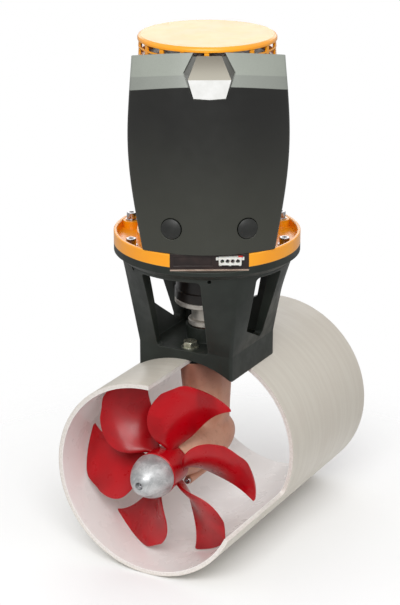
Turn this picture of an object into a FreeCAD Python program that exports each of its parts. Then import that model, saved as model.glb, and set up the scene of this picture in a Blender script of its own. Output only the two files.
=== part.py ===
"""Bow thruster for a 250 mm tunnel: motor, bracket, bronze tailpiece and six-bladed propeller.

Frame: the origin is where the tunnel axis meets the drive axis. +Z runs up the drive
shaft to the motor. The tunnel runs along Y, with the propeller on the -Y side of the leg.
The motor head is turned about Z, so its parts are drawn facing -Y and then turned.
"""
import FreeCAD, Part
import math
import os
from FreeCAD import Vector

ORIGIN = Vector(0, 0, 0)
X_AXIS = Vector(1, 0, 0)
Y_AXIS = Vector(0, 1, 0)
Z_AXIS = Vector(0, 0, 1)

# ---------------------------------------------------------------- driving dimensions, mm
# clearances
RUNNING_FIT = 0.03        # radial, shaft in bearing
SEAT_GAP = 0.3            # between curved faces that seat on each other
HOLE_GAP = 0.4            # radial, screw in its hole

# tunnel, with the sector in front of the propeller cut away
TUNNEL_BORE = 250.0
TUNNEL_WALL = 6.0
TUNNEL_FRONT = -161.0
TUNNEL_BACK = 220.0
CUT_TOP_ANGLE = 2.0       # clock angles seen from the propeller side
CUT_SIDE_ANGLE = 116.0
CUT_BACK = -4.3
CUT_CORNER = 9.0

# tailpiece
GASKET = 1.0
LEG_HALF_WIDTH = 24.0
LEG_TOP_LENGTH = 56.0     # half-length at the tunnel wall
LEG_LOW_FRONT = 32.0
LEG_LOW_REAR = 46.0
LEG_MIDDLE = (42.0, 50.0, 62.0)   # front and rear reach, and height
LEG_BLEND = 9.0
POD_RADIUS = 31.0
POD_TAIL = 56.0
POD_SEAM = 41.0
POD_NOSE = 92.5
NECK_RADIUS = 22.0
NECK_RISE = 20.0          # above the bracket floor
COLLAR_RADIUS = 24.5
COLLAR_HEIGHT = 7.0
GEAR_ROOM = 26.2
BOLT_OFFSET = 45.0
BOLT_RADIUS = 5.0
BOLT_HEX = 17.0
WASHER_RADIUS = 11.2
SPOT_FACE = 12.6          # radius of the room for a washer
CAP_SCREW_CLOCK = 160.0
CAP_SCREW_CIRCLE = 34.0
CAP_BOSS_RADIUS = 5.6
CAP_BOSS_END = 71.0
CAP_BOSS_BACK = 13.0      # length of the bosses behind the seam
CAP_SCREW_RADIUS = 2.4

# bevel gears
PINION_TEETH = 13
WHEEL_TEETH = 27
GEAR_MODULE = 1.75
GEAR_FACE = 8.0
GEAR_BACKLASH = 0.30

# shafts and bearings: (bore radius, outer radius, width)
DRIVE_SHAFT_RADIUS = 7.5
PINION_SEAT_RADIUS = 4.6
PROP_SHAFT_RADIUS = 8.5
TAIL_JOURNAL = 6.0
DRIVE_BEARING = (7.5, 17.5, 11.0)
NOSE_BEARING = (8.5, 17.5, 10.0)
TAIL_BEARING = (6.0, 12.0, 6.0)
SEAL_WIDTH = 7.0

# propeller
BLADES = 6
TIP_GAP = 1.9
HUB_REAR = 95.0
HUB_FRONT = 138.0
HUB_REAR_RADIUS = 25.7
HUB_FRONT_RADIUS = 28.9
HUB_POCKET_RADIUS = 17.0
HUB_POCKET_DEPTH = 20.0
BLADE_ROOT_RADIUS = 30.0
BLADE_HALF_CHORD = (4.0, 31.2, 35.4)      # tangential, at root, middle and tip
BLADE_SKEW = (15.6, -23.3, 36.0)          # degrees: constant, linear and square term
BLADE_AXIS = 20.0                         # degrees: direction that the sections are stacked along
BLADE_RAKE = (106.8, 25.4, -29.4)         # forward place: constant, linear and square
BLADE_PITCH = (404.0, 233.0)              # at root and tip
BLADE_CAMBER = (2.0, -1.9)
BLADE_CURL = (-4.8, -2.4)
BLADE_THICKNESS = (6.5, 2.6)
BLADE_EDGE = 0.3                          # edge thickness as a share of the middle's
BLADE_CORNERS = (18.0, 7.0)               # rounding of the obtuse and of the acute tip corner

# zinc anode on the propeller nose
ANODE_LENGTH = 41.0
ANODE_HOLE = 5.2

# motor bracket (the casting between tunnel and motor)
BRACKET_WIDTH = 136.0
BRACKET_DEPTH = 121.0
BRACKET_FLOOR = 12.0      # above the tunnel
BRACKET_BASE = 14.0       # top of the straight box walls, above the tunnel
POST_HEIGHT = 112.0
BRACKET_WALL = 10.0
BRACKET_BOSS = 27.0       # radius of the boss round the neck
BRACKET_CORNER = 4.0
BAND_RADIUS = 110.0
WINDOW_TOP = 3.0          # below the band
LIP_RADIUS = 120.0
LIP_DROP = 18.5           # from post tops to the lip's upper face
LIP_HEIGHT = 9.5
BRACKET_MOUTH = 84.0
DIMPLE_ANGLES = (-30.0, 30.0, 150.0, 210.0)
DIMPLE_RADIUS = 2.6

# head, turned about the drive axis
HEAD_TURN = 30.0
RING_HEIGHT = 16.5
RING_FLOOR = 6.0
RING_RIM = 4.5
RING_BOSS = 90.0
NOTCH_HALF = 49.0
NOTCH_FACE = 110.0
PAD_RADIUS = 11.5
PAD_DROP = 0.6            # pads lie this much below the rim
RING_SCREW_CIRCLE = 105.0
RING_SCREW_RADIUS = 4.0
RING_SCREW_ANGLES = (67.5, 112.5, 157.5)

# motor
MOTOR_RADIUS = 82.0
MOTOR_WALL = 5.0
MOTOR_LENGTH = 226.0
MOTOR_SHAFT_RADIUS = 10.0
MOTOR_BEARING = (10.0, 23.5, 14.0)
ARMATURE_RADIUS = 55.0
AIR_GAP = 1.5
COMMUTATOR_RADIUS = 30.0
CAP_RADIUS = 86.0
CAP_HEIGHT = 41.0
CAP_WALL = 2.5
CAP_RISE = 27.0           # above the motor casing
VENT_COUNT = 18
VENT_ANGLE = 16.0
VENT_ROWS = ((-22.0, -15.0), (-13.0, -6.2))   # below the cap's top

# coupling
COUPLING_RADIUS = 42.0
COUPLING_HUB = 20.0
COUPLING_FLANGE = 7.0
COUPLING_LOW = 27.0       # bottom of the lower hub above the bracket floor
COUPLING_HUB_HEIGHT = 23.0
COUPLING_DRUM = 50.0
JAWS = 3

# front cover
COVER_WALL = 3.0
COVER_FRONT = 115.0
COVER_CURVE = 145.0
COVER_BACK = 6.0
COVER_ROUND = 7.0
COVER_HALF_WIDTHS = ((0.0, 82.6), (44.0, 90.5), (89.0, 97.0), (144.0, 99.7), (209.0, 95.8), (250.0, 93.2))
COVER_EDGES = ((210.0, 7.0, 12.0), (223.5, 13.0, 10.5), (248.0, 26.0, 11.0))  # height, set-back, corner drop
COVER_FALL = 30.0         # of the roof towards the back
COVER_ARCH = 95.0         # half-width at which the corner drop is measured
PLUG_PLACE = (47.0, 32.0)
PLUG_RADIUS = 12.7
PLUG_RECESS = 13.7
PLUG_DOME = 4.0
BADGE = ((15.0, 243.5), (26.0, 218.0), (19.4, 196.3))             # half-width, height above the ring
BADGE_GROOVE = ((16.6, 252.0), (31.4, 225.0), (20.3, 195.5))      # the same for the groove that it lies in
BADGE_DEPTH = 2.2         # of the groove
BADGE_FRONTS = (90.4, 106.5, 110.5)       # front face's distance from the drive axis at the same heights

# control box and its connector
BOX_HEIGHT = 19.5
BOX_PLATE = 1.5
BOX_FACE = 109.0
BOX_BACK = 91.5
CONNECTOR_PLACE = 25.5
CONNECTOR_WIDTH = 28.0
CONNECTOR_HEIGHT = 10.0
CONNECTOR_DEPTH = 6.0
PIN_PITCH = 6.4
SOCKET_RADIUS = 2.6

# solenoids under the cover
SOLENOID_PLACE = 70.0
SOLENOID_RADIUS = 15.0
SOLENOID_RISE = 60.0      # bottom above the ring
SOLENOID_HEIGHT = 72.0
SADDLE_WIDTH = 24.0
SADDLE_HEIGHT = 44.0

# ---------------------------------------------------------------- derived levels
tunnel_in = TUNNEL_BORE / 2
tunnel_out = tunnel_in + TUNNEL_WALL
floor_z = tunnel_out + BRACKET_FLOOR
base_z = tunnel_out + BRACKET_BASE
posts_z = base_z + POST_HEIGHT
ring_z = posts_z + LIP_DROP
ring_top = ring_z + RING_HEIGHT
pad_top = ring_top - PAD_DROP
neck_top = floor_z + NECK_RISE
leg_top = tunnel_in - GASKET
motor_top = ring_top + MOTOR_LENGTH
cap_top = motor_top + CAP_RISE
coupling_z = floor_z + COUPLING_LOW
flange_z = coupling_z + COUPLING_HUB_HEIGHT
drum_z = flange_z + COUPLING_FLANGE
drum_top = drum_z + COUPLING_DRUM
tip_radius = tunnel_in - TIP_GAP
anode_back = HUB_FRONT + SEAT_GAP
plate_z = ring_top - BOX_HEIGHT - BOX_PLATE     # underside of the control box's plate
lower_bearing_z = 37.0
upper_bearing_z = floor_z - 27
seal_z = neck_top - SEAL_WIDTH - 1
nose_bearing_f = POD_SEAM + 9                   # forward place of the bearing behind the propeller
solenoid_z = ring_top + SOLENOID_RISE
solenoid_top = solenoid_z + SOLENOID_HEIGHT
room_end = -27.0                                # rear end of the gear room
anode_nose = anode_back + ANODE_LENGTH


# ---------------------------------------------------------------- helpers
def rod(radius, low, high):
    """Cylinder about Z between two heights."""
    return Part.makeCylinder(radius, high - low, Vector(0, 0, low))


def tube(outer, inner, low, high):
    """Ring about Z between two heights."""
    return rod(outer, low, high).cut(rod(inner, low - 1, high + 1))


def peg(radius, x, y, low, high):
    """Upright cylinder at a place."""
    return Part.makeCylinder(radius, high - low, Vector(x, y, low))


def block(x0, x1, y0, y1, z0, z1):
    """Box between two corners."""
    return Part.makeBox(x1 - x0, y1 - y0, z1 - z0, Vector(x0, y0, z0))


def turned(profile):
    """Solid of revolution about Z from a closed outline of (radius, height) points."""
    points = [Vector(radius, 0, height) for radius, height in profile]
    face = Part.Face(Part.makePolygon(points + points[:1]))
    return face.revolve(ORIGIN, Z_AXIS, 360)


def hexagon(across_flats, low, high, x=0.0, y=0.0):
    """Hexagonal prism about Z."""
    radius = across_flats / math.sqrt(3)
    corners = []
    for k in range(7):
        angle = math.radians(60 * k)
        corners.append(Vector(x + radius * math.cos(angle), y + radius * math.sin(angle), low))
    return Part.Face(Part.makePolygon(corners)).extrude(Vector(0, 0, high - low))


def polar(radius, degrees):
    """Place at a radius and an angle from -Y towards +X."""
    angle = math.radians(degrees)
    return radius * math.sin(angle), -radius * math.cos(angle)


def spun(shape, degrees):
    """Copy turned about Z."""
    copy = shape.copy()
    copy.rotate(ORIGIN, Z_AXIS, degrees)
    return copy


def mirrored(shape):
    """Copy on the other side of the plane x = 0."""
    return shape.mirror(ORIGIN, X_AXIS)


def forward(shape):
    """Lay a shape drawn up the Z axis down, so that its Z becomes -Y."""
    copy = shape.copy()
    copy.rotate(ORIGIN, X_AXIS, 90)
    return copy


def turned_head(shape):
    """Turn a head part to the side that the head faces."""
    return spun(shape, HEAD_TURN)


def fused(shapes):
    """One solid from shapes that overlap."""
    return shapes[0].multiFuse(shapes[1:]).removeSplitter()


def rounded_box_wire(half_x, half_y, corner, height):
    """Closed outline of a rectangle with rounded corners, at a height."""
    face = Part.Face(block(-half_x, half_x, -half_y, half_y, height, height + 1).Faces[4].OuterWire)
    solid = face.extrude(Vector(0, 0, 1))
    upright = [edge for edge in solid.Edges if abs(edge.tangentAt(edge.FirstParameter).z) > 0.9]
    return solid.makeFillet(corner, upright).slice(Z_AXIS, height + 0.5)[0]


def bearing(sizes, low, gap=SEAT_GAP):
    """Shielded ball bearing about Z: outer ring with shields, and inner ring."""
    bore, outer, width = sizes
    wall = (outer - bore) * 0.28
    shield = width * 0.12
    race = tube(outer - RUNNING_FIT, outer - wall, low, low + width)
    plates = []
    for level in (low + shield, low + width - 2 * shield):
        plates.append(tube(outer - wall + 0.5, bore + wall + gap, level, level + shield))
    ring = fused([race] + plates)
    inner = tube(bore + wall, bore + RUNNING_FIT, low, low + width)
    return Part.makeCompound([ring, inner])


def socket_screw(radius, low, shank, head_radius, head_height):
    """Socket-head screw about Z whose head sits on the height given, shank below."""
    head = rod(head_radius, low, low + head_height)
    head = head.makeChamfer(head_radius * 0.1, [head.Edges[0]])
    socket = hexagon(head_radius * 0.95, low + head_height * 0.45, low + head_height + 1)
    return fused([head.cut(socket), rod(radius, low - shank, low + 0.5)])


# ---------------------------------------------------------------- tunnel
def make_tunnel():
    pipe = Part.makeCylinder(tunnel_out, TUNNEL_BACK - TUNNEL_FRONT, Vector(0, TUNNEL_FRONT, 0), Y_AXIS)
    bore = Part.makeCylinder(tunnel_in, TUNNEL_BACK - TUNNEL_FRONT + 2, Vector(0, TUNNEL_FRONT - 1, 0), Y_AXIS)
    shell = pipe.cut(bore)
    return shell.cut(cutaway()).cut(rod(NECK_RADIUS + 1, 0, tunnel_out + 1)).cut(bolt_holes())


def cutaway():
    """Sector of the tunnel's front that is left out, with its far corner rounded."""
    reach = tunnel_out * 1.6
    sweep = CUT_SIDE_ANGLE - CUT_TOP_ANGLE
    sector = Part.makeCylinder(reach, 2 * abs(TUNNEL_FRONT), ORIGIN, Z_AXIS, sweep)
    sector = spun(sector, 90 - CUT_SIDE_ANGLE)
    sector = forward(sector)
    sector.translate(Vector(0, CUT_BACK, 0))
    angle = math.radians(CUT_SIDE_ANGLE)
    outward = Vector(math.sin(angle), 0, math.cos(angle))
    along = Vector(math.cos(angle), 0, -math.sin(angle))
    corner = Vector(0, CUT_BACK, 0)
    square = Part.makePolygon([
        corner - Y_AXIS * CUT_CORNER,
        corner,
        corner - along * CUT_CORNER,
        corner - along * CUT_CORNER - Y_AXIS * CUT_CORNER,
        corner - Y_AXIS * CUT_CORNER,
    ])
    keep = Part.Face(square).extrude(outward * reach)
    centre = corner - along * CUT_CORNER - Y_AXIS * CUT_CORNER
    keep = keep.cut(Part.makeCylinder(CUT_CORNER, reach, centre, outward))
    return sector.cut(keep)


def bolt_holes():
    """Holes for the two bolts that clamp bracket, tunnel and tailpiece."""
    holes = []
    for y in (-BOLT_OFFSET, BOLT_OFFSET):
        holes.append(peg(BOLT_RADIUS + HOLE_GAP, 0, y, tunnel_in - 32, floor_z + 1))
    return Part.makeCompound(holes)


# ---------------------------------------------------------------- tailpiece
def leg_section(front, rear, height):
    """Smooth streamlined section of the leg, with its own reach to the front and to the rear."""
    points = []
    steps = 12
    for i in range(steps):
        turn = 2 * math.pi * i / steps
        reach = rear if math.sin(turn) > 0 else front
        points.append(Vector(LEG_HALF_WIDTH * math.cos(turn), reach * math.sin(turn), height))
    curve = Part.BSplineCurve()
    curve.interpolate(points, PeriodicFlag=True)
    return Part.Wire(curve.toShape())


def leg_top_form(outer):
    """Everything inside the tunnel's inner face, less a gasket or not."""
    return Part.makeCylinder(outer, 400, Vector(0, -200, 0), Y_AXIS)


def make_tailpiece():
    rows = ((LEG_LOW_FRONT, LEG_LOW_REAR, 0), (LEG_LOW_FRONT, LEG_LOW_REAR, POD_RADIUS), LEG_MIDDLE)
    sections = [leg_section(front, rear, height) for front, rear, height in rows]
    sections.append(leg_section(LEG_TOP_LENGTH, LEG_TOP_LENGTH, leg_top + 5))
    leg = Part.makeLoft(sections, True, False).common(leg_top_form(leg_top))
    body = leg.fuse(make_pod()).removeSplitter()
    blend = [edge for edge in body.Edges if is_leg_joint(edge)]
    body = body.makeFillet(LEG_BLEND, blend)
    body = body.fuse(rod(NECK_RADIUS, leg_top - 12, neck_top)).removeSplitter()
    for x, z in cap_screw_places():
        boss = peg(CAP_BOSS_RADIUS, x, z, POD_SEAM - CAP_BOSS_BACK, POD_SEAM)
        end = Part.makeSphere(CAP_BOSS_RADIUS, Vector(x, z, POD_SEAM - CAP_BOSS_BACK))
        body = fused([body, forward(boss.fuse(end))])
    body = body.cut(fused([gear_room(), drive_bore()])).cut(bolt_holes())
    for x, z in cap_screw_places():
        body = body.cut(forward(peg(CAP_SCREW_RADIUS + 0.1, x, z, POD_SEAM - CAP_BOSS_BACK, POD_SEAM + 1)))
    return body


def make_pod():
    """Torpedo form along the tunnel: straight to the front seam, half an ellipse to the rear."""
    tail = Part.Ellipse(Vector(0, 0, -POD_TAIL), Vector(POD_RADIUS, 0, 0), ORIGIN)
    edges = [
        Part.ArcOfEllipse(tail, 0, math.pi / 2).toShape(),
        Part.LineSegment(Vector(POD_RADIUS, 0, 0), Vector(POD_RADIUS, 0, POD_SEAM)).toShape(),
        Part.LineSegment(Vector(POD_RADIUS, 0, POD_SEAM), Vector(0, 0, POD_SEAM)).toShape(),
        Part.LineSegment(Vector(0, 0, POD_SEAM), Vector(0, 0, -POD_TAIL)).toShape(),
    ]
    return forward(Part.Face(Part.Wire(edges)).revolve(ORIGIN, Z_AXIS, 360))


def is_leg_joint(edge):
    """True for the edges where the leg grows out of the pod."""
    box = edge.BoundBox
    clear_of_ends = box.ZMax < leg_top * 0.6 and box.ZMin > 0.5
    return clear_of_ends and box.YMin > -POD_SEAM + 0.5


def gear_room():
    """Hollow of the pod, with the seat of the rear bearing."""
    bore, outer, width = TAIL_BEARING
    room = rod(GEAR_ROOM, room_end, POD_SEAM + 1)
    seat = rod(outer, room_end - width - 1, room_end + 1)
    return forward(fused([room, seat]))


def drive_bore():
    """Stepped bore of the leg for the drive shaft and its bearings."""
    bore, outer, width = DRIVE_BEARING
    low = rod(outer, 5, lower_bearing_z + width)
    middle = rod(outer - 3.5, 10, neck_top + 1)
    high = rod(outer, upper_bearing_z, neck_top + 1)
    return fused([low, middle, high])


def cap_screw_places():
    """Cross places of the screws round the front cap, in the plan seen from the front."""
    places = []
    for clock in (CAP_SCREW_CLOCK, CAP_SCREW_CLOCK + 180):
        angle = math.radians(clock)
        places.append((CAP_SCREW_CIRCLE * math.sin(angle), CAP_SCREW_CIRCLE * math.cos(angle)))
    return places


def make_tailpiece_gasket():
    outline = Part.Face(leg_section(LEG_TOP_LENGTH - 1, LEG_TOP_LENGTH - 1, leg_top - 25))
    sheet = outline.extrude(Vector(0, 0, 50)).common(leg_top_form(tunnel_in)).cut(leg_top_form(leg_top))
    return sheet.cut(rod(NECK_RADIUS + 0.5, 0, tunnel_out)).cut(bolt_holes())


def make_gearcase_cap():
    """Front bearing housing of the pod, with bosses for its two screws."""
    bore, outer, width = NOSE_BEARING
    nose = HUB_REAR_RADIUS - 0.5
    shell = turned([
        (0, POD_SEAM), (POD_RADIUS - 0.2, POD_SEAM), (POD_RADIUS - 0.6, POD_SEAM + 18),
        (nose + 0.8, POD_NOSE - 12), (nose - 1, POD_NOSE), (0, POD_NOSE),
    ])
    spigot = rod(GEAR_ROOM - SEAT_GAP, POD_SEAM - 6, POD_SEAM + 1)
    bosses = []
    for x, z in cap_screw_places():
        bosses.append(peg(CAP_BOSS_RADIUS, x, z, POD_SEAM, CAP_BOSS_END))
        bosses.append(Part.makeSphere(CAP_BOSS_RADIUS * 0.4, Vector(x * 0.9, z * 0.9, CAP_BOSS_END - 3)))
    body = fused([shell, spigot] + bosses)
    body = body.cut(rod(outer, nose_bearing_f, POD_NOSE + 1))
    body = body.cut(rod(outer - 4, POD_SEAM - 8, POD_NOSE))
    for x, z in cap_screw_places():
        body = body.cut(peg(CAP_SCREW_RADIUS + HOLE_GAP, x, z, POD_SEAM - 7, CAP_BOSS_END + 1))
    return forward(body)


def make_cap_screws():
    screws = []
    for x, z in cap_screw_places():
        screw = socket_screw(CAP_SCREW_RADIUS, CAP_BOSS_END, CAP_BOSS_END - POD_SEAM + 10, 4.4, 5.0)
        screw.translate(Vector(x, z, 0))
        screws.append(forward(screw))
    return Part.makeCompound(screws)


def seal(shaft_radius, outer, low):
    """Lip seal about Z."""
    case = outer - RUNNING_FIT
    lip = shaft_radius + RUNNING_FIT
    return turned([
        (case, low), (case, low + SEAL_WIDTH), (lip + 5, low + SEAL_WIDTH), (lip + 2.5, low + 3),
        (lip, low + 2.2), (lip, low + 1.2), (lip + 3, low),
    ])


def make_propshaft_seals():
    outer = NOSE_BEARING[1]
    seals = []
    for level in (POD_NOSE - 2 * SEAL_WIDTH - 2.5, POD_NOSE - SEAL_WIDTH - 1):
        seals.append(forward(seal(PROP_SHAFT_RADIUS, outer, level)))
    return Part.makeCompound(seals)


def make_input_seal():
    return seal(DRIVE_SHAFT_RADIUS, DRIVE_BEARING[1], seal_z)


def make_neck_collar():
    """Bright clamping ring round the neck's upper rim."""
    inner = DRIVE_BEARING[1] - 4
    step = 3.0
    return turned([
        (inner, neck_top), (NECK_RADIUS - step, neck_top), (COLLAR_RADIUS - 1, neck_top),
        (COLLAR_RADIUS, neck_top + 1), (COLLAR_RADIUS, neck_top + COLLAR_HEIGHT - 1),
        (COLLAR_RADIUS - 1, neck_top + COLLAR_HEIGHT - 0.2), (inner, neck_top + COLLAR_HEIGHT - 0.2),
    ])


def make_tailpiece_bolts():
    bolts = []
    washer = 1.8
    for y in (-BOLT_OFFSET, BOLT_OFFSET):
        head = hexagon(BOLT_HEX, floor_z + washer, floor_z + washer + 7, 0, y)
        crown = Part.makeCone(BOLT_HEX * 0.68, BOLT_HEX * 0.46, 4.4, Vector(0, y, floor_z + washer + 3.2))
        lower = peg(BOLT_HEX, 0, y, floor_z + washer, floor_z + washer + 3.2)
        head = head.common(fused([crown, lower]))
        shank = peg(BOLT_RADIUS, 0, y, tunnel_in - 30, floor_z + washer + 1)
        bolts.append(fused([head, shank]))
    return Part.makeCompound(bolts)


def make_bolt_washers():
    washers = []
    for y in (-BOLT_OFFSET, BOLT_OFFSET):
        ring = tube(WASHER_RADIUS, BOLT_RADIUS + HOLE_GAP, floor_z, floor_z + 1.8)
        ring.translate(Vector(0, y, 0))
        washers.append(ring)
    return Part.makeCompound(washers)


# ---------------------------------------------------------------- bevel gears
def bevel_tooth(teeth, mate, first):
    """One straight tooth of a bevel gear whose cone tip is the origin, centred at an angle."""
    cone = math.atan(teeth / mate)
    pitch_radius = GEAR_MODULE * teeth / 2
    distance = pitch_radius / math.sin(cone)
    spur = pitch_radius / math.cos(cone)
    base = spur * math.cos(math.radians(20))
    half_arc = (math.pi * GEAR_MODULE / 2 - GEAR_BACKLASH) / 2
    pitch_roll = involute(math.radians(20))
    shrink = 1 - GEAR_FACE / distance
    left = []
    right = []
    for share in (-1.45, -1.0, -0.5, 0.0, 0.45, 0.85):
        height = share * GEAR_MODULE
        radius = spur + height
        roll = involute(math.acos(min(1.0, base / radius)))
        arc = (half_arc / spur + pitch_roll - roll) * radius
        out = pitch_radius + height * math.cos(cone)
        up = distance * math.cos(cone) - height * math.sin(cone)
        for side, row in ((-1, left), (1, right)):
            angle = math.radians(first) + side * arc / out
            row.append(Vector(out * math.cos(angle), out * math.sin(angle), up))
    faces = []
    count = len(left)
    for i in range(count - 1):
        outer = [left[i], right[i], right[i + 1], left[i + 1]]
        faces.append(flat(outer))
        faces.append(flat([point * shrink for point in outer]))
    outline = left + right[::-1]
    for i, point in enumerate(outline):
        after = outline[(i + 1) % len(outline)]
        faces.append(flat([point, after, after * shrink, point * shrink]))
    return Part.makeSolid(Part.makeShell(faces))


def involute(angle):
    return math.tan(angle) - angle


def flat(points):
    """Plane face through corners in order."""
    return Part.Face(Part.makePolygon(points + points[:1]))


def bevel_gear(teeth, mate, first, hub_radius, hub_length, bore):
    """Bevel gear about +Z with its cone tip at the origin and one tooth at an angle."""
    cone = math.atan(teeth / mate)
    pitch_radius = GEAR_MODULE * teeth / 2
    distance = pitch_radius / math.sin(cone)
    shrink = 1 - GEAR_FACE / distance
    root = 1.2 * GEAR_MODULE
    rim_radius = pitch_radius - root * math.cos(cone)
    rim_z = distance * math.cos(cone) + root * math.sin(cone)
    back_z = rim_z + hub_length
    body = turned([
        (bore, rim_z * shrink), (rim_radius * shrink, rim_z * shrink), (rim_radius, rim_z),
        (rim_radius, rim_z + 1.5), (hub_radius, rim_z + 2.5), (hub_radius, back_z), (bore, back_z),
    ])
    teeth_solids = []
    for k in range(teeth):
        teeth_solids.append(bevel_tooth(teeth, mate, first + 360.0 * k / teeth))
    return body.multiFuse(teeth_solids)


def make_pinion():
    gear = bevel_gear(PINION_TEETH, WHEEL_TEETH, 90, 10.0, 9.0, PINION_SEAT_RADIUS + 0.02)
    return gear.cut(pinion_pin_hole())


def pinion_pin_hole():
    return Part.makeCylinder(1.52, 40, Vector(-20, 0, 31), X_AXIS)


def make_pinion_pin():
    return Part.makeCylinder(1.5, 20, Vector(-10, 0, 31), X_AXIS)


def make_wheel():
    first = -90 + 180.0 / WHEEL_TEETH
    gear = bevel_gear(WHEEL_TEETH, PINION_TEETH, first, 15.0, 9.0, PROP_SHAFT_RADIUS + 0.02)
    gear = gear.cut(key_slot(3.0, 2.0, PROP_SHAFT_RADIUS, 0, 60))
    gear.rotate(ORIGIN, X_AXIS, -90)
    return gear


def key_slot(width, height, shaft_radius, low, high, clearance=0.02):
    """Room for a parallel key on the +X side of a shaft about Z."""
    half = width / 2 + clearance
    return block(shaft_radius - height, shaft_radius + height + clearance, -half, half, low, high)


# ---------------------------------------------------------------- input rotor
def make_drive_shaft():
    shoulder = lower_bearing_z - 1
    shaft = turned([
        (0, 18), (PINION_SEAT_RADIUS - 0.5, 18), (PINION_SEAT_RADIUS, 18.5), (PINION_SEAT_RADIUS, shoulder),
        (DRIVE_SHAFT_RADIUS, shoulder), (DRIVE_SHAFT_RADIUS, drum_z - 1.8), (DRIVE_SHAFT_RADIUS - 0.8, drum_z - 1),
        (0, drum_z - 1),
    ])
    return shaft.cut(pinion_pin_hole()).cut(key_slot(3.0, 2.0, DRIVE_SHAFT_RADIUS, coupling_z + 2, drum_z))


def make_coupling_lower():
    """Bright lower coupling half: hub and flange with jaws on top."""
    bore = DRIVE_SHAFT_RADIUS + 0.02
    hub = turned([
        (bore, coupling_z), (COUPLING_HUB - 1, coupling_z), (COUPLING_HUB, coupling_z + 1),
        (COUPLING_HUB, flange_z), (COUPLING_RADIUS - 1, flange_z), (COUPLING_RADIUS, flange_z + 1),
        (COUPLING_RADIUS, drum_z - 0.8), (COUPLING_RADIUS - 0.8, drum_z), (bore, drum_z),
    ])
    slot = key_slot(3.0, 2.0, DRIVE_SHAFT_RADIUS, coupling_z - 1, drum_z + 1)
    return fused([hub] + jaws(0, drum_z - 0.5, drum_z + 14)).cut(slot)


def jaws(first, low, high):
    """Three driving jaws of a coupling half."""
    solids = []
    for k in range(JAWS):
        sector = Part.makeCylinder(COUPLING_RADIUS - 9, high - low, Vector(0, 0, low), Z_AXIS, 34)
        sector = sector.cut(rod(COUPLING_HUB - 2, low - 1, high + 1))
        solids.append(spun(sector, first + k * 360.0 / JAWS))
    return solids


def make_coupling_spider():
    """Rubber star between the jaws."""
    low = drum_z
    high = drum_z + 13
    star = tube(COUPLING_RADIUS - 9, COUPLING_HUB - 5, low, high)
    rooms = []
    for first in (-0.6, 60 - 0.6):
        for jaw in jaws(first, low - 1, high + 1):
            wide = jaw.fuse(spun(jaw, 1.2))
            rooms.append(wide)
    return star.cut(Part.makeCompound(rooms))


def make_coupling_drum():
    """Dark upper coupling half: drum over the star, hub on the motor shaft."""
    bore = MOTOR_SHAFT_RADIUS + 0.02
    room = COUPLING_RADIUS - 8.5
    drum = turned([
        (room, drum_z + SEAT_GAP), (COUPLING_RADIUS, drum_z + SEAT_GAP), (COUPLING_RADIUS, drum_z + 12),
        (COUPLING_RADIUS - 1.5, drum_z + 14), (COUPLING_RADIUS - 1.5, drum_top - 14),
        (COUPLING_RADIUS, drum_top - 12), (COUPLING_RADIUS, drum_top - 2), (COUPLING_RADIUS - 2, drum_top),
        (bore, drum_top), (bore, drum_z + 15), (room, drum_z + 15),
    ])
    slot = key_slot(3.0, 2.0, MOTOR_SHAFT_RADIUS, drum_z, drum_top + 1)
    return fused([drum] + jaws(60, drum_z + 1.5, drum_z + 15.5)).cut(slot)


def make_coupling_keys():
    """Parallel keys of both coupling halves."""
    lower = key_slot(3.0, 2.0, DRIVE_SHAFT_RADIUS, coupling_z + 2, drum_z - 2, -0.01)
    upper = key_slot(3.0, 2.0, MOTOR_SHAFT_RADIUS, drum_z + 17, drum_top - 2, -0.01)
    return Part.makeCompound([lower, upper])


def make_motor_shaft():
    shaft = rod(MOTOR_SHAFT_RADIUS, drum_z + 16, motor_top + 4)
    shaft = shaft.makeChamfer(0.8, shaft.Edges[0:1])
    return shaft.cut(key_slot(3.0, 2.0, MOTOR_SHAFT_RADIUS, drum_z + 16, drum_top - 1))


def make_armature():
    """Slotted iron core of the rotor."""
    core = tube(ARMATURE_RADIUS, MOTOR_SHAFT_RADIUS + 0.02, ring_top + 48, ring_top + 150)
    slots = []
    count = 16
    for k in range(count):
        slot = block(ARMATURE_RADIUS - 9, ARMATURE_RADIUS + 1, -1.6, 1.6, ring_top + 47, ring_top + 151)
        slots.append(spun(slot, k * 360.0 / count))
    return core.cut(Part.makeCompound(slots))


def make_windings():
    """Copper end turns above and below the core."""
    solids = []
    for low, high in ((ring_top + 30, ring_top + 48), (ring_top + 150, ring_top + 166)):
        bevel = 5.0
        solids.append(turned([
            (MOTOR_SHAFT_RADIUS + 6, low), (ARMATURE_RADIUS - 8 - bevel, low), (ARMATURE_RADIUS - 8, low + bevel),
            (ARMATURE_RADIUS - 8, high - bevel), (ARMATURE_RADIUS - 8 - bevel, high),
            (MOTOR_SHAFT_RADIUS + 6, high),
        ]))
    return Part.makeCompound(solids)


def make_commutator():
    bars = 24
    ring = tube(COMMUTATOR_RADIUS, MOTOR_SHAFT_RADIUS + 0.02, ring_top + 167, ring_top + 202)
    slots = []
    for k in range(bars):
        slot = block(COMMUTATOR_RADIUS - 1.5, COMMUTATOR_RADIUS + 1, -0.4, 0.4, ring_top + 166, ring_top + 203)
        slots.append(spun(slot, k * 360.0 / bars))
    return ring.cut(Part.makeCompound(slots))


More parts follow.
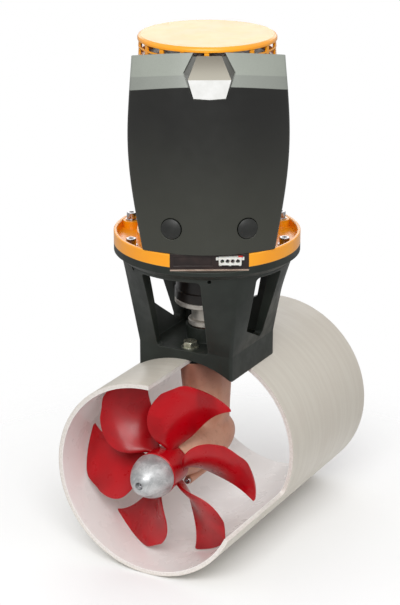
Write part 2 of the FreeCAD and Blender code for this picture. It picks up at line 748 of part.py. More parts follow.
# ---------------------------------------------------------------- propeller shaft
def make_prop_shaft():
    """Stepped shaft about the tunnel axis, drawn up Z and laid forward."""
    tail = room_end - TAIL_BEARING[2] - 1
    step = room_end + 0.3
    thread_start = HUB_FRONT - HUB_POCKET_DEPTH - 2
    shaft = turned([
        (0, tail), (TAIL_JOURNAL, tail), (TAIL_JOURNAL, step), (PROP_SHAFT_RADIUS, step),
        (PROP_SHAFT_RADIUS, thread_start), (6, thread_start), (6, HUB_FRONT - 1), (0, HUB_FRONT - 1),
    ])
    shaft = shaft.cut(rod(2.5, HUB_FRONT - 16, HUB_FRONT))
    shaft = shaft.cut(drive_pin_hole())
    shaft = forward(shaft)
    slot = key_slot(3.0, 2.0, PROP_SHAFT_RADIUS, 10, 24)
    slot.rotate(ORIGIN, X_AXIS, -90)
    return shaft.cut(slot)


def make_gear_key():
    key = key_slot(3.0, 2.0, PROP_SHAFT_RADIUS, 10, 23, -0.01)
    key.rotate(ORIGIN, X_AXIS, -90)
    return key


def drive_pin_hole():
    return Part.makeCylinder(3.02, 60, Vector(-30, 0, HUB_REAR + 7), X_AXIS)


def make_drive_pin():
    return forward(Part.makeCylinder(3.0, 38, Vector(-19, 0, HUB_REAR + 7), X_AXIS))


def make_prop_washer():
    bottom = HUB_FRONT - HUB_POCKET_DEPTH
    return forward(tube(13.0, 6.3, bottom, bottom + 2))


def make_prop_nut():
    bottom = HUB_FRONT - HUB_POCKET_DEPTH + 2
    nut = hexagon(19, bottom, bottom + 11).common(turned([
        (0, bottom), (9.6, bottom), (11.2, bottom + 1.5), (11.2, bottom + 9.5), (9.6, bottom + 11), (0, bottom + 11),
    ]))
    return forward(nut.cut(rod(6.02, bottom - 1, bottom + 12)))


# ---------------------------------------------------------------- propeller
def blend_three(values, share):
    """Value of the parabola through root, middle and tip values."""
    root, middle, tip = values
    at_root = root * (1 - share) * (1 - 2 * share)
    return at_root + 4 * middle * share * (1 - share) + tip * share * (2 * share - 1)


def blade_point(level, across, lift):
    """Point of a blade section: level up the blade, across from edge to edge, lift in thickness."""
    angle = 0.0
    for _ in range(8):
        radius = level / math.cos(angle)
        share = (radius - BLADE_ROOT_RADIUS) / (tip_radius - BLADE_ROOT_RADIUS)
        share = min(1.0, max(0.0, share))
        half = blend_three(BLADE_HALF_CHORD, share)
        skew = BLADE_SKEW[0] + BLADE_SKEW[1] * share + BLADE_SKEW[2] * share ** 2 - BLADE_AXIS
        angle = math.radians(skew) + across * half / max(radius, BLADE_ROOT_RADIUS)
    pitch = BLADE_PITCH[0] * (1 - share) + BLADE_PITCH[1] * share
    slope = pitch / (2 * math.pi * max(radius, BLADE_ROOT_RADIUS))
    camber = BLADE_CAMBER[0] * (1 - share) + BLADE_CAMBER[1] * share
    curl = BLADE_CURL[0] * (1 - share) + BLADE_CURL[1] * share
    place = BLADE_RAKE[0] + BLADE_RAKE[1] * share + BLADE_RAKE[2] * share ** 2
    place = place - slope * across * half + camber * (1 - across ** 2) + curl * (across - across ** 3)
    thick = BLADE_THICKNESS[0] * (1 - share) + BLADE_THICKNESS[1] * share
    offset = lift * thick / 2
    tilt = math.atan(slope)
    x = radius * math.sin(angle) + offset * math.sin(tilt)
    return Vector(x, level, place + offset * math.cos(tilt))


def blade_section(level):
    """Closed wire of the blade at a height above the shaft axis: two faces and two thin edges."""
    sides = []
    steps = 6
    for face in (1, -1):
        points = []
        for i in range(steps + 1):
            across = face * math.cos(math.pi * i / steps)
            lift = face * (BLADE_EDGE + (1 - BLADE_EDGE) * (1 - across ** 2))
            points.append(blade_point(level, across, lift))
        curve = Part.BSplineCurve()
        curve.interpolate(points)
        sides.append((curve.toShape(), points[0], points[-1]))
    (upper, upper_start, upper_end), (lower, lower_start, lower_end) = sides
    near = Part.LineSegment(upper_end, lower_start).toShape()
    far = Part.LineSegment(lower_end, upper_start).toShape()
    return Part.Wire([upper, near, lower, far])


def blade_outline():
    """Prism that trims the tip to the tunnel's clearance and rounds its corners."""
    share_low = (100.0 - BLADE_ROOT_RADIUS) / (tip_radius - BLADE_ROOT_RADIUS)
    corners = [Vector(0, 0, 0)]
    for side in (-1, 1):
        line = []
        for share, spare in ((share_low, 4.0), (1.06, 0.3)):
            radius = BLADE_ROOT_RADIUS + share * (tip_radius - BLADE_ROOT_RADIUS)
            skew = BLADE_SKEW[0] + BLADE_SKEW[1] * share + BLADE_SKEW[2] * share ** 2 - BLADE_AXIS
            spread = math.degrees(blend_three(BLADE_HALF_CHORD, share) / radius) + spare
            angle = math.radians(skew + side * spread)
            line.append(Vector(radius * math.sin(angle), radius * math.cos(angle), 0))
        wide = math.radians(side * 60)
        line.insert(0, Vector(60 * math.sin(wide), 60 * math.cos(wide), 0))
        corners += line if side < 0 else line[::-1]
    prism = flat(corners).extrude(Vector(0, 0, 90))
    prism.translate(Vector(0, 0, HUB_REAR - 30))
    prism = prism.common(rod(tip_radius, 0, 2 * HUB_FRONT))
    for side, rounding in zip((-1, 1), BLADE_CORNERS):
        prism = prism.makeFillet(rounding, [tip_corner(prism, side)])
    return prism


def tip_corner(prism, side):
    """The upright edge of the blade's outline at one end of the tip."""
    tips = []
    for edge in prism.Edges:
        box = edge.BoundBox
        upright = box.ZLength > 80 and box.XLength < 0.1 and box.YLength < 0.1
        if upright and math.hypot(box.Center.x, box.Center.y) > tip_radius - 1:
            tips.append(edge)
    return max(tips, key=lambda edge: side * edge.BoundBox.Center.x)


def make_blade():
    levels = [20.0, 34.0, 46.0, 60.0, 76.0, 92.0, 108.0, 126.0]
    scale = tip_radius / 123.1
    wires = [blade_section(level * scale) for level in levels]
    blade = Part.makeLoft(wires, True, False)
    return spun(blade.common(blade_outline()), -BLADE_AXIS)


def make_propeller():
    """Hub with six blades, bored for shaft, nut and drive pin."""
    hub = turned([
        (0, HUB_REAR), (HUB_REAR_RADIUS - 1, HUB_REAR), (HUB_REAR_RADIUS, HUB_REAR + 1.5),
        (HUB_FRONT_RADIUS, HUB_FRONT - 1), (HUB_FRONT_RADIUS - 1, HUB_FRONT), (0, HUB_FRONT),
    ])
    blade = make_blade()
    wheel = hub.multiFuse([spun(blade, -k * 360.0 / BLADES) for k in range(BLADES)])
    pocket = rod(HUB_POCKET_RADIUS, HUB_FRONT - HUB_POCKET_DEPTH, HUB_FRONT + 1)
    bore = rod(PROP_SHAFT_RADIUS + RUNNING_FIT, HUB_REAR - 1, HUB_FRONT)
    slot = block(-19.3, 19.3, -3.1, 3.1, HUB_REAR - 1, HUB_REAR + 10.2)
    return forward(wheel.cut(fused([pocket, bore])).cut(slot))


def make_anode():
    """Sacrificial nose cone with a recessed screw hole."""
    back = anode_back
    nose = anode_nose
    radius = HUB_FRONT_RADIUS
    outline = Part.BSplineCurve()
    outline.interpolate([
        Vector(radius, 0, back + 3), Vector(radius * 0.93, 0, back + 14), Vector(radius * 0.72, 0, back + 27),
        Vector(radius * 0.42, 0, back + 37.5), Vector(radius * 0.22, 0, nose),
    ])
    edges = [
        Part.LineSegment(Vector(0, 0, back), Vector(radius - 1, 0, back)).toShape(),
        Part.LineSegment(Vector(radius - 1, 0, back), Vector(radius, 0, back + 3)).toShape(),
        outline.toShape(),
        Part.LineSegment(Vector(radius * 0.22, 0, nose), Vector(0, 0, nose)).toShape(),
        Part.LineSegment(Vector(0, 0, nose), Vector(0, 0, back)).toShape(),
    ]
    cone = Part.Face(Part.Wire(edges)).revolve(ORIGIN, Z_AXIS, 360)
    spigot = rod(HUB_POCKET_RADIUS - SEAT_GAP, back - 3, back + 1)
    body = fused([cone, spigot])
    body = body.cut(rod(ANODE_HOLE, nose - 11, nose + 1)).cut(rod(3.2, back - 5, nose))
    body = body.cut(rod(8, back - 4, back + 6))
    return forward(body)


def make_anode_screw():
    seat = anode_nose - 11
    return forward(socket_screw(2.45, seat, seat - HUB_FRONT + 14, ANODE_HOLE - 0.5, 5.0))


# ---------------------------------------------------------------- bracket
def make_bracket():
    """Casting that stands on the tunnel and carries the motor on four posts."""
    low = 80.0
    half_x = BRACKET_WIDTH / 2
    half_y = BRACKET_DEPTH / 2
    foot = rounded_box_wire(half_x, half_y, BRACKET_CORNER, base_z)
    flare = square_to_round(half_x, half_y, BRACKET_CORNER, BAND_RADIUS, base_z, posts_z)
    skirt = Part.Face(foot).extrude(Vector(0, 0, low - base_z))
    band = turned([
        (0, posts_z - 1), (BAND_RADIUS - 1.5, posts_z - 1), (BAND_RADIUS, posts_z), (BAND_RADIUS, posts_z + 1),
        (LIP_RADIUS, ring_z - LIP_HEIGHT), (LIP_RADIUS, ring_z), (0, ring_z),
    ])
    body = fused([skirt, flare, band])
    wall = BRACKET_WALL
    hollow = square_to_round(half_x - wall, half_y - wall, 6.0, BAND_RADIUS - 18, floor_z, posts_z - 4)
    mouth = rod(BRACKET_MOUTH, posts_z - 12, ring_z + 1)
    body = body.cut(fused([hollow, mouth]))
    saddle = Part.makeCylinder(tunnel_out, 400, Vector(0, -200, 0), Y_AXIS)
    body = body.cut(saddle).cut(bolt_holes())
    for y in (-BOLT_OFFSET, BOLT_OFFSET):
        body = body.cut(peg(SPOT_FACE, 0, y, floor_z, floor_z + SPOT_FACE))
    for window in bracket_windows():
        body = body.cut(window)
    body = fused([body, rod(BRACKET_BOSS, floor_z - 1, neck_top - 1)])
    body = body.cut(rod(NECK_RADIUS + HOLE_GAP, 0, neck_top))
    for x, y in ring_screw_places():
        body = body.cut(peg(RING_SCREW_RADIUS - 0.6, x, y, ring_z - 20, ring_z + 1))
    return body.cut(notch_room(plate_z, ring_z + 1)).cut(band_dimples())


def square_to_round(half_x, half_y, corner, radius, low, high):
    """Loft from a rounded rectangle up to a circle, side by side in eight matching pieces."""
    lower = corner_points(half_x, half_y, corner, low)
    upper = []
    for point in lower:
        reach = math.hypot(point.x, point.y)
        upper.append(Vector(point.x * radius / reach, point.y * radius / reach, high))
    wires = []
    for row, bulge in ((lower, corner_bulges(half_x, half_y, corner, low)), (upper, None)):
        edges = []
        for i, start in enumerate(row):
            end = row[(i + 1) % 8]
            middle = (start + end) * 0.5
            if bulge is None:
                reach = math.hypot(middle.x, middle.y)
                middle = Vector(middle.x * radius / reach, middle.y * radius / reach, high)
                edges.append(Part.Arc(start, middle, end).toShape())
            elif i % 2:
                edges.append(Part.Arc(start, bulge[i // 2], end).toShape())
            else:
                edges.append(Part.LineSegment(start, end).toShape())
        wires.append(Part.Wire(edges))
    return Part.makeLoft(wires, True, True)


def corner_points(half_x, half_y, corner, z):
    """Ends of the four straight sides of a rounded rectangle, in order."""
    x, y, r = half_x, half_y, corner
    plan = [(-x + r, -y), (x - r, -y), (x, -y + r), (x, y - r), (x - r, y), (-x + r, y), (-x, y - r), (-x, -y + r)]
    return [Vector(px, py, z) for px, py in plan]


def corner_bulges(half_x, half_y, corner, z):
    """Middles of the corner arcs, in the same order."""
    dx = half_x - corner * (1 - math.sqrt(0.5))
    dy = half_y - corner * (1 - math.sqrt(0.5))
    return [Vector(dx, -dy, z), Vector(dx, dy, z), Vector(-dx, dy, z), Vector(-dx, -dy, z)]


def bracket_windows():
    """Cutters of the four openings: two plain ones, and two with a slanting gusset."""
    top = posts_z - WINDOW_TOP
    sill = floor_z
    reach = LIP_RADIUS
    front = window([(-41, sill), (34, sill), (44, top), (-38.5, top)], reach)
    left = window([(-36, sill), (30, sill + 51), (44, top), (-30, top)], reach)
    right = window([(-36, sill + 32), (20, sill + 5), (-3, top), (-49, top)], reach)
    back = window([(-42, sill + 44), (46, sill), (52, top), (-46, top)], reach)
    return [front, spun(right, 90), spun(back, 180), spun(left, -90)]


def window(corners, reach):
    """Opening towards -Y with rounded upright edges, from (x, z) corners."""
    points = [Vector(x, 0, z) for x, z in corners]
    prism = flat(points).extrude(Vector(0, -reach * 1.2, 0))
    edges = [edge for edge in prism.Edges if edge.BoundBox.YLength > reach]
    return prism.makeFillet(5.0, edges)


def band_dimples():
    """Small blind holes round the band."""
    holes = []
    for angle in DIMPLE_ANGLES:
        hole = Part.makeCylinder(DIMPLE_RADIUS, 12, Vector(0, -BAND_RADIUS - 2, posts_z - 1.5), Y_AXIS)
        holes.append(spun(hole, angle))
    return Part.makeCompound(holes)


def notch_room(low, high):
    """Room of the control box in ring and bracket, turned with the head."""
    room = block(-NOTCH_HALF, NOTCH_HALF, -LIP_RADIUS - 5, -BOX_BACK + 0.8, low, high)
    return turned_head(room)


# ---------------------------------------------------------------- adapter ring
def ring_screw_places():
    places = []
    for angle in RING_SCREW_ANGLES:
        for side in (-1, 1):
            places.append(polar(RING_SCREW_CIRCLE, HEAD_TURN + side * angle))
    return places


def make_ring():
    """Orange cast ring between bracket and motor: floor, rim, boss and pads."""
    floor_top = ring_z + RING_FLOOR
    bore = COUPLING_RADIUS + 6
    body = turned([
        (bore, ring_z), (LIP_RADIUS, ring_z), (LIP_RADIUS, ring_top - 1), (LIP_RADIUS - 1, ring_top),
        (LIP_RADIUS - RING_RIM + 1, ring_top), (LIP_RADIUS - RING_RIM, ring_top - 1),
        (LIP_RADIUS - RING_RIM, floor_top), (RING_BOSS, floor_top), (RING_BOSS, ring_top), (bore, ring_top),
    ])
    pads = []
    for angle in RING_SCREW_ANGLES[1:]:
        for side in (-1, 1):
            x, y = polar(RING_SCREW_CIRCLE, side * angle)
            pads.append(peg(PAD_RADIUS, x, y, ring_z + 1, pad_top))
    inside = rod(LIP_RADIUS - RING_RIM / 2, ring_z, ring_top)
    body = fused([body] + [pad.common(inside) for pad in pads])
    body = turned_head(body).cut(notch_room(ring_z - 1, ring_top + 1))
    for x, y in ring_screw_places():
        body = body.cut(peg(RING_SCREW_RADIUS + HOLE_GAP, x, y, ring_z - 1, ring_top + 1))
    return body


def ring_screw_seat(index):
    """Height that a ring screw's washer lies on: floor in front, pads behind."""
    return ring_z + RING_FLOOR if index < 2 else pad_top


def make_ring_screws():
    screws = []
    for index, (x, y) in enumerate(ring_screw_places()):
        seat = ring_screw_seat(index) + 1.6
        screw = socket_screw(3.3, seat, seat - ring_z + 14, 6.5, 8.5)
        screw.translate(Vector(x, y, 0))
        screws.append(screw)
    return Part.makeCompound(screws)


def make_ring_washers():
    washers = []
    for index, (x, y) in enumerate(ring_screw_places()):
        seat = ring_screw_seat(index)
        washer = tube(8.0, RING_SCREW_RADIUS + HOLE_GAP, seat, seat + 1.6)
        washer.translate(Vector(x, y, 0))
        washers.append(washer)
    return Part.makeCompound(washers)


# ---------------------------------------------------------------- motor
def make_motor_casing():
    return tube(MOTOR_RADIUS, MOTOR_RADIUS - MOTOR_WALL, ring_top, motor_top)


def make_lower_shield():
    """Drive-end shield inside the casing, holding the lower motor bearing."""
    bore, outer, width = MOTOR_BEARING
    rim = MOTOR_RADIUS - MOTOR_WALL - SEAT_GAP
    return turned([
        (bore + 3, ring_top), (rim, ring_top), (rim, ring_top + 12), (outer + 8, ring_top + 12),
        (outer + 6, ring_top + 5 + width), (outer, ring_top + 5 + width), (outer, ring_top + 5), (bore + 3, ring_top + 5),
    ])


def make_upper_shield():
    bore, outer, width = MOTOR_BEARING
    rim = MOTOR_RADIUS - MOTOR_WALL - SEAT_GAP
    return turned([
        (bore + 3, motor_top + 3), (outer + 6, motor_top + 3), (outer + 8, motor_top), (rim, motor_top),
        (rim, motor_top - 10), (outer + 6, motor_top - 10), (outer + 5, motor_top - width), (outer, motor_top - width),
        (outer, motor_top), (bore + 3, motor_top),
    ])


def make_motor_bearings():
    width = MOTOR_BEARING[2]
    lower = bearing(MOTOR_BEARING, ring_top + 5)
    upper = bearing(MOTOR_BEARING, motor_top - width)
    return Part.makeCompound(lower.Solids + upper.Solids)


def make_pole_pieces():
    """Four curved field poles inside the casing."""
    outer = MOTOR_RADIUS - MOTOR_WALL - SEAT_GAP
    inner = ARMATURE_RADIUS + AIR_GAP
    poles = []
    for k in range(4):
        sector = Part.makeCylinder(outer, 112, Vector(0, 0, ring_top + 43), Z_AXIS, 66)
        sector = sector.cut(rod(inner, ring_top, motor_top))
        poles.append(spun(sector, 90 * k - 33))
    return Part.makeCompound(poles)


def make_brush_holder():
    """Insulating ring with four brush boxes."""
    outer = MOTOR_RADIUS - MOTOR_WALL - SEAT_GAP
    low = ring_top + 170
    plate = tube(outer, COMMUTATOR_RADIUS + 4, low, low + 5)
    boxes = []
    for k in range(4):
        box = block(COMMUTATOR_RADIUS + 3, COMMUTATOR_RADIUS + 30, -10, 10, low + 4, low + 24)
        boxes.append(spun(box, 90 * k + 45))
    body = fused([plate] + boxes)
    rooms = []
    for k in range(4):
        room = block(COMMUTATOR_RADIUS, COMMUTATOR_RADIUS + 27, -7.2, 7.2, low + 6.8, low + 21.2)
        rooms.append(spun(room, 90 * k + 45))
    return body.cut(Part.makeCompound(rooms))


def make_brushes():
    """Carbon brushes, each with its contact face a hair off the commutator."""
    low = ring_top + 170
    brushes = []
    for k in range(4):
        brush = block(COMMUTATOR_RADIUS - 2, COMMUTATOR_RADIUS + 20, -7, 7, low + 7, low + 21)
        brush = brush.cut(rod(COMMUTATOR_RADIUS + 0.1, low, low + 30))
        brushes.append(spun(brush, 90 * k + 45))
    return Part.makeCompound(brushes)


def make_motor_cap():
    """Orange vented cap over the brush end."""
    bottom = cap_top - CAP_HEIGHT
    body = turned([
        (MOTOR_RADIUS + SEAT_GAP, bottom), (CAP_RADIUS, bottom), (CAP_RADIUS, cap_top - 7),
        (CAP_RADIUS + 1.0, cap_top - 6), (CAP_RADIUS + 1.0, cap_top - 3.4), (CAP_RADIUS, cap_top - 1.6),
        (CAP_RADIUS - 2.6, cap_top), (0, cap_top), (0, cap_top - CAP_WALL),
        (CAP_RADIUS - CAP_WALL, cap_top - CAP_WALL), (CAP_RADIUS - CAP_WALL, motor_top + 1),
        (MOTOR_RADIUS - 4, motor_top + 1), (MOTOR_RADIUS - 4, motor_top), (MOTOR_RADIUS + SEAT_GAP, motor_top),
    ])
    slots = []
    for low, high in VENT_ROWS:
        for k in range(VENT_COUNT):
            height = high - low
            sector = Part.makeCylinder(CAP_RADIUS + 4, height, Vector(0, 0, cap_top + low), Z_AXIS, VENT_ANGLE)
            sector = sector.cut(rod(CAP_RADIUS - CAP_WALL - 3, 0, cap_top + 1))
            slots.append(spun(sector, k * 360.0 / VENT_COUNT))
    return body.cut(Part.makeCompound(slots))


# ---------------------------------------------------------------- front cover
def set_in(x):
    """How far the curved front lies back at a width."""
    return COVER_CURVE - math.sqrt(COVER_CURVE ** 2 - x ** 2)


def cover_profile(x, inset, foot, back):
    """Closed side outline of the cover at a width: back, foot, front and the two top facets."""
    share = (x / COVER_ARCH) ** 2
    front = COVER_FRONT - set_in(x) - inset
    points = [Vector(x, -back, foot), Vector(x, -front, foot)]
    for height, step, drop in COVER_EDGES:
        lower = inset * (1.15 if height == COVER_EDGES[-1][0] else 0.35)
        points.append(Vector(x, -front + step, ring_top + height - drop * share - lower))
    points.append(Vector(x, -back, points[-1].z - COVER_FALL))
    return Part.makePolygon(points + points[:1])


def cover_body(inset, foot, back):
    """Solid between the side outlines, smooth across the width."""
    reach = COVER_HALF_WIDTHS[3][1] + 6
    stations = [reach * k / 4.0 for k in range(-4, 5)]
    return Part.makeLoft([cover_profile(x, inset, foot, back) for x in stations], True, False)


def cover_elevation(inset, foot):
    """Barrel shape of the cover seen from the front, as a prism along Y, down to a foot height."""
    rows = [Vector(half - inset, 0, ring_top + z) for z, half in COVER_HALF_WIDTHS]
    curve = Part.BSplineCurve()
    curve.interpolate(rows)
    corner = Vector(rows[0].x, 0, foot)
    corners = [rows[-1], Vector(-rows[-1].x, 0, rows[-1].z)]
    base = [corner, Vector(-corner.x, 0, foot)]
    edges = [curve.toShape(), mirrored(curve.toShape())]
    edges.append(Part.LineSegment(corners[0], corners[1]).toShape())
    edges.append(Part.LineSegment(base[0], base[1]).toShape())
    if foot < ring_top:
        edges.append(Part.LineSegment(base[0], rows[0]).toShape())
        edges.append(Part.LineSegment(base[1], Vector(-rows[0].x, 0, ring_top)).toShape())
    wire = Part.Wire(Part.__sortEdges__(edges))
    return Part.Face(wire).extrude(Vector(0, -COVER_FRONT - 20, 0))


def cover_normal(x):
    """Outward direction of the front face at a width."""
    angle = math.asin(x / COVER_CURVE)
    return Vector(math.sin(angle), -math.cos(angle), 0)


def plug_seat(side):
    """Point on the front face under a plug's centre, and the outward direction there."""
    x = side * PLUG_PLACE[0]
    lean = COVER_EDGES[0][1] / COVER_EDGES[0][0] * PLUG_PLACE[1]
    front = COVER_FRONT - set_in(x) - lean
    return Vector(x, -front, ring_top + PLUG_PLACE[1]), cover_normal(x)


def pin_along(centre, direction, radius, start, end):
    """Cylinder along a direction, from one distance to another."""
    return Part.makeCylinder(radius, end - start, centre + direction * start, direction)


def cover_hollow():
    """Room inside the cover, open at the back and the foot."""
    low = ring_top - 5
    return cover_body(COVER_WALL, low, COVER_BACK - 5).common(cover_elevation(COVER_WALL, low))


def cover_outer():
    """Outside form of the cover with its upright corners rounded."""
    outer = cover_body(0, ring_top + SEAT_GAP, COVER_BACK).common(cover_elevation(0, ring_top))
    corners = [edge for edge in outer.Edges if is_cover_corner(edge)]
    return outer.makeFillet(COVER_ROUND, corners)


def is_cover_corner(edge):
    """True for the edges where the curved front meets the sides."""
    box = edge.BoundBox
    beside = abs(box.Center.x) > COVER_HALF_WIDTHS[0][1] - 4 and box.XLength < 22
    ahead = box.YMax < -(COVER_BACK + 8)
    return beside and ahead and box.ZLength > 6


def badge_outline(rows):
    """Six-sided outline in the front view, as a prism along Y, from its top, middle and bottom rows."""
    (top_x, top_z), (mid_x, mid_z), (low_x, low_z) = rows
    points = [(-low_x, low_z), (0, low_z - 1.5), (low_x, low_z), (mid_x, mid_z), (top_x, top_z)]
    points += [(-top_x, top_z), (-mid_x, mid_z)]
    corners = [Vector(x, 0, ring_top + z) for x, z in points]
    return flat(corners).extrude(Vector(0, -COVER_FRONT - 20, 0))


def badge_recess():
    """Groove in the cover that the badge lies in."""
    floor = cover_body(BADGE_DEPTH, ring_top, COVER_BACK - 2)
    ahead = block(-60, 60, -COVER_FRONT - 10, -40, ring_top + 150, ring_top + 260)
    return badge_outline(BADGE_GROOVE).common(ahead).cut(floor)


def make_cover():
    """Moulded front shell of the head, open at the back and the foot."""
    shell = cover_outer().cut(cover_hollow()).cut(rod(MOTOR_RADIUS + 2.5, ring_top - 5, motor_top - 10))
    shell = shell.cut(rod(CAP_RADIUS + 2.5, motor_top - 18, cap_top + 5))
    for side in (-1, 1):
        centre, direction = plug_seat(side)
        boss = pin_along(centre, direction, PLUG_RECESS + 2.5, -12, -1.0)
        hollow = pin_along(centre, direction, PLUG_RECESS, -7, 10)
        screw_hole = pin_along(centre, direction, 2.6, -14, 0)
        shell = shell.fuse(boss).cut(hollow).cut(screw_hole)
    return turned_head(shell.cut(badge_recess()))


def make_badge():
    """Bare faceted badge: an upper and a lower facet that meet at its widest line."""
    foot = BADGE[2][1] - 4
    side = [(front, height) for front, (half, height) in zip(BADGE_FRONTS, BADGE)]
    side += [(BADGE_FRONTS[2], foot), (BADGE_FRONTS[1] - 8, foot), (BADGE_FRONTS[0] - 19, BADGE[0][1])]
    slab = flat([Vector(-40, -d, ring_top + z) for d, z in side]).extrude(Vector(80, 0, 0))
    inner = cover_body(BADGE_DEPTH - 0.05, ring_top, COVER_BACK - 2)
    badge = slab.common(badge_outline(BADGE)).cut(inner).cut(rod(CAP_RADIUS + 2.4, ring_top, cap_top))
    return turned_head(badge)


def make_cover_plugs():
    """Domed covers over the two cover screws."""
    plugs = []
    for side in (-1, 1):
        centre, direction = plug_seat(side)
        body = pin_along(centre, direction, PLUG_RADIUS, -7, 1.0)
        rise = PLUG_DOME - 1.0
        ball = (PLUG_RADIUS ** 2 + rise ** 2) / (2 * rise)
        dome = Part.makeSphere(ball, centre + direction * (1.0 - ball + rise))
        dome = dome.common(pin_along(centre, direction, PLUG_RADIUS, 0.5, 10))
        hollow = pin_along(centre, direction, PLUG_RADIUS - 3, -8, -1.5)
        plugs.append(turned_head(fused([body, dome]).cut(hollow)))
    return Part.makeCompound(plugs)


def make_cover_screws():
    screws = []
    for side in (-1, 1):
        centre, direction = plug_seat(side)
        head = pin_along(centre, direction, 4.5, -7, -3.6)
        slot = pin_along(centre, direction, 2.0, -5, -3)
        shank = pin_along(centre, direction, 2.2, -19, -6.5)
        screws.append(turned_head(fused([head.cut(slot), shank])))
    return Part.makeCompound(screws)


def make_cover_standoffs():
    """Posts on the motor casing that the cover screws go into."""
    posts = []
    for side in (-1, 1):
        centre, direction = plug_seat(side)
        post = pin_along(centre, direction, 5.0, -40, -12 - 0.1)
        bore = pin_along(centre, direction, 2.25, -20, 0)
        posts.append(turned_head(post.cut(rod(MOTOR_RADIUS, ring_top, motor_top)).cut(bore)))
    return Part.makeCompound([nearest_solid(post) for post in posts])


def nearest_solid(shape):
    """The solid of a shape that lies furthest from the drive axis."""
    return max(shape.Solids, key=lambda solid: math.hypot(solid.CenterOfMass.x, solid.CenterOfMass.y))


# ---------------------------------------------------------------- control box
def make_control_box():
    low = ring_top - BOX_HEIGHT
    half = NOTCH_HALF - SEAT_GAP
    body = block(-half, half, -BOX_FACE, -BOX_BACK, low, ring_top)
    window = block(-half + 4, 4, -BOX_FACE - 1, -BOX_FACE + 2.0, low + 4, ring_top - 3)
    socket = connector_block(0.1)
    return turned_head(body.cut(window).cut(socket))


def connector_block(grow):
    half = CONNECTOR_WIDTH / 2 + grow
    mid = ring_top - 7.5
    tall = CONNECTOR_HEIGHT / 2 + grow
    place = CONNECTOR_PLACE
    return block(place - half, place + half, -BOX_FACE - CONNECTOR_DEPTH, -BOX_FACE + 8, mid - tall, mid + tall)


def make_box_plate():
    half = NOTCH_HALF - SEAT_GAP
    return turned_head(block(-half, half, -BOX_FACE - 2, -BOX_BACK, plate_z, plate_z + BOX_PLATE))


def make_connector():
    """White four-way plug housing with an ear on each side."""
    body = connector_block(0)
    mid = ring_top - 7.5
    place = CONNECTOR_PLACE
    half = CONNECTOR_WIDTH / 2
    front = -BOX_FACE - CONNECTOR_DEPTH
    ears = block(place - half - 3.5, place + half + 3.5, -BOX_FACE - 3, -BOX_FACE, mid + 0.5, mid + 4)
    feet = []
    for side in (-1, 0, 1):
        x = place + side * (half - 2)
        feet.append(block(x - 1.5, x + 1.5, -BOX_FACE - CONNECTOR_DEPTH + 1, -BOX_FACE, mid - CONNECTOR_HEIGHT / 2 - 1.2, mid))
    body = fused([body, ears] + feet)
    for x in pin_places():
        body = body.cut(Part.makeCylinder(SOCKET_RADIUS, 9, Vector(x, front - 1, mid), Y_AXIS))
    return turned_head(body)


def pin_places():
    return [CONNECTOR_PLACE + PIN_PITCH * (k - 1.5) for k in range(4)]


def make_connector_pins():
    front = -BOX_FACE - CONNECTOR_DEPTH
    pins = []
    for x in pin_places():
        pin = Part.makeCylinder(1.0, 7.0, Vector(x, front + 1, ring_top - 7.5), Y_AXIS)
        pins.append(turned_head(pin))
    return Part.makeCompound(pins)


def make_connector_latch():
    mid = ring_top - 7.5
    x = CONNECTOR_PLACE + CONNECTOR_WIDTH / 2
    top = mid + CONNECTOR_HEIGHT / 2
    return turned_head(block(x - 4, x + 1.5, -BOX_FACE - CONNECTOR_DEPTH + 1, -BOX_FACE - 3, top, top + 1.4))


# ---------------------------------------------------------------- solenoids
def solenoid_places():
    return [(side * SOLENOID_PLACE, -SOLENOID_PLACE) for side in (-1, 1)]


def make_solenoids():
    """Two relay cans that switch the motor's direction."""
    neck = SOLENOID_RADIUS - 1.5
    solids = []
    for x, y in solenoid_places():
        can = turned([
            (0, solenoid_z), (SOLENOID_RADIUS, solenoid_z), (SOLENOID_RADIUS, solenoid_top - 14),
            (neck, solenoid_top - 12), (neck, solenoid_top), (0, solenoid_top),
        ])
        can.translate(Vector(x, y, 0))
        solids.append(turned_head(can))
    return Part.makeCompound(solids)


def make_solenoid_saddles():
    """Blocks on the motor casing that the relay cans lie in."""
    low = solenoid_z + 5
    far = math.hypot(SOLENOID_PLACE, SOLENOID_PLACE) - SOLENOID_RADIUS * 0.3
    solids = []
    for index, (x, y) in enumerate(solenoid_places()):
        half = SADDLE_WIDTH / 2
        saddle = block(-half, half, -far, -MOTOR_RADIUS + 6, low, low + SADDLE_HEIGHT)
        saddle = spun(saddle, -45 + 90 * index)
        saddle = saddle.cut(rod(MOTOR_RADIUS + SEAT_GAP, 0, motor_top))
        saddle = saddle.cut(peg(SOLENOID_RADIUS + SEAT_GAP, x, y, 0, motor_top))
        solids.append(turned_head(saddle))
    return Part.makeCompound(solids)


def make_terminal_studs():
    """Threaded studs with hexagonal nuts on top of the relay cans."""
    solids = []
    for x, y in solenoid_places():
        for shift in (-7.0, 7.0):
            stud = rod(3.0, solenoid_top, solenoid_top + 15)
            nut = hexagon(9.0, solenoid_top + 3, solenoid_top + 8)
            piece = fused([stud, nut])
            piece.translate(Vector(x + shift, y, 0))
            solids.append(turned_head(piece))
    return Part.makeCompound(solids)


# ---------------------------------------------------------------- bearings of both shafts
def make_drive_bearings():
    lower = bearing(DRIVE_BEARING, lower_bearing_z)
    upper = bearing(DRIVE_BEARING, upper_bearing_z)
    return Part.makeCompound(lower.Solids + upper.Solids)


def make_prop_bearings():
    nose = forward(bearing(NOSE_BEARING, nose_bearing_f))
    tail = forward(bearing(TAIL_BEARING, room_end - TAIL_BEARING[2]))
    return Part.makeCompound(nose.Solids + tail.Solids)


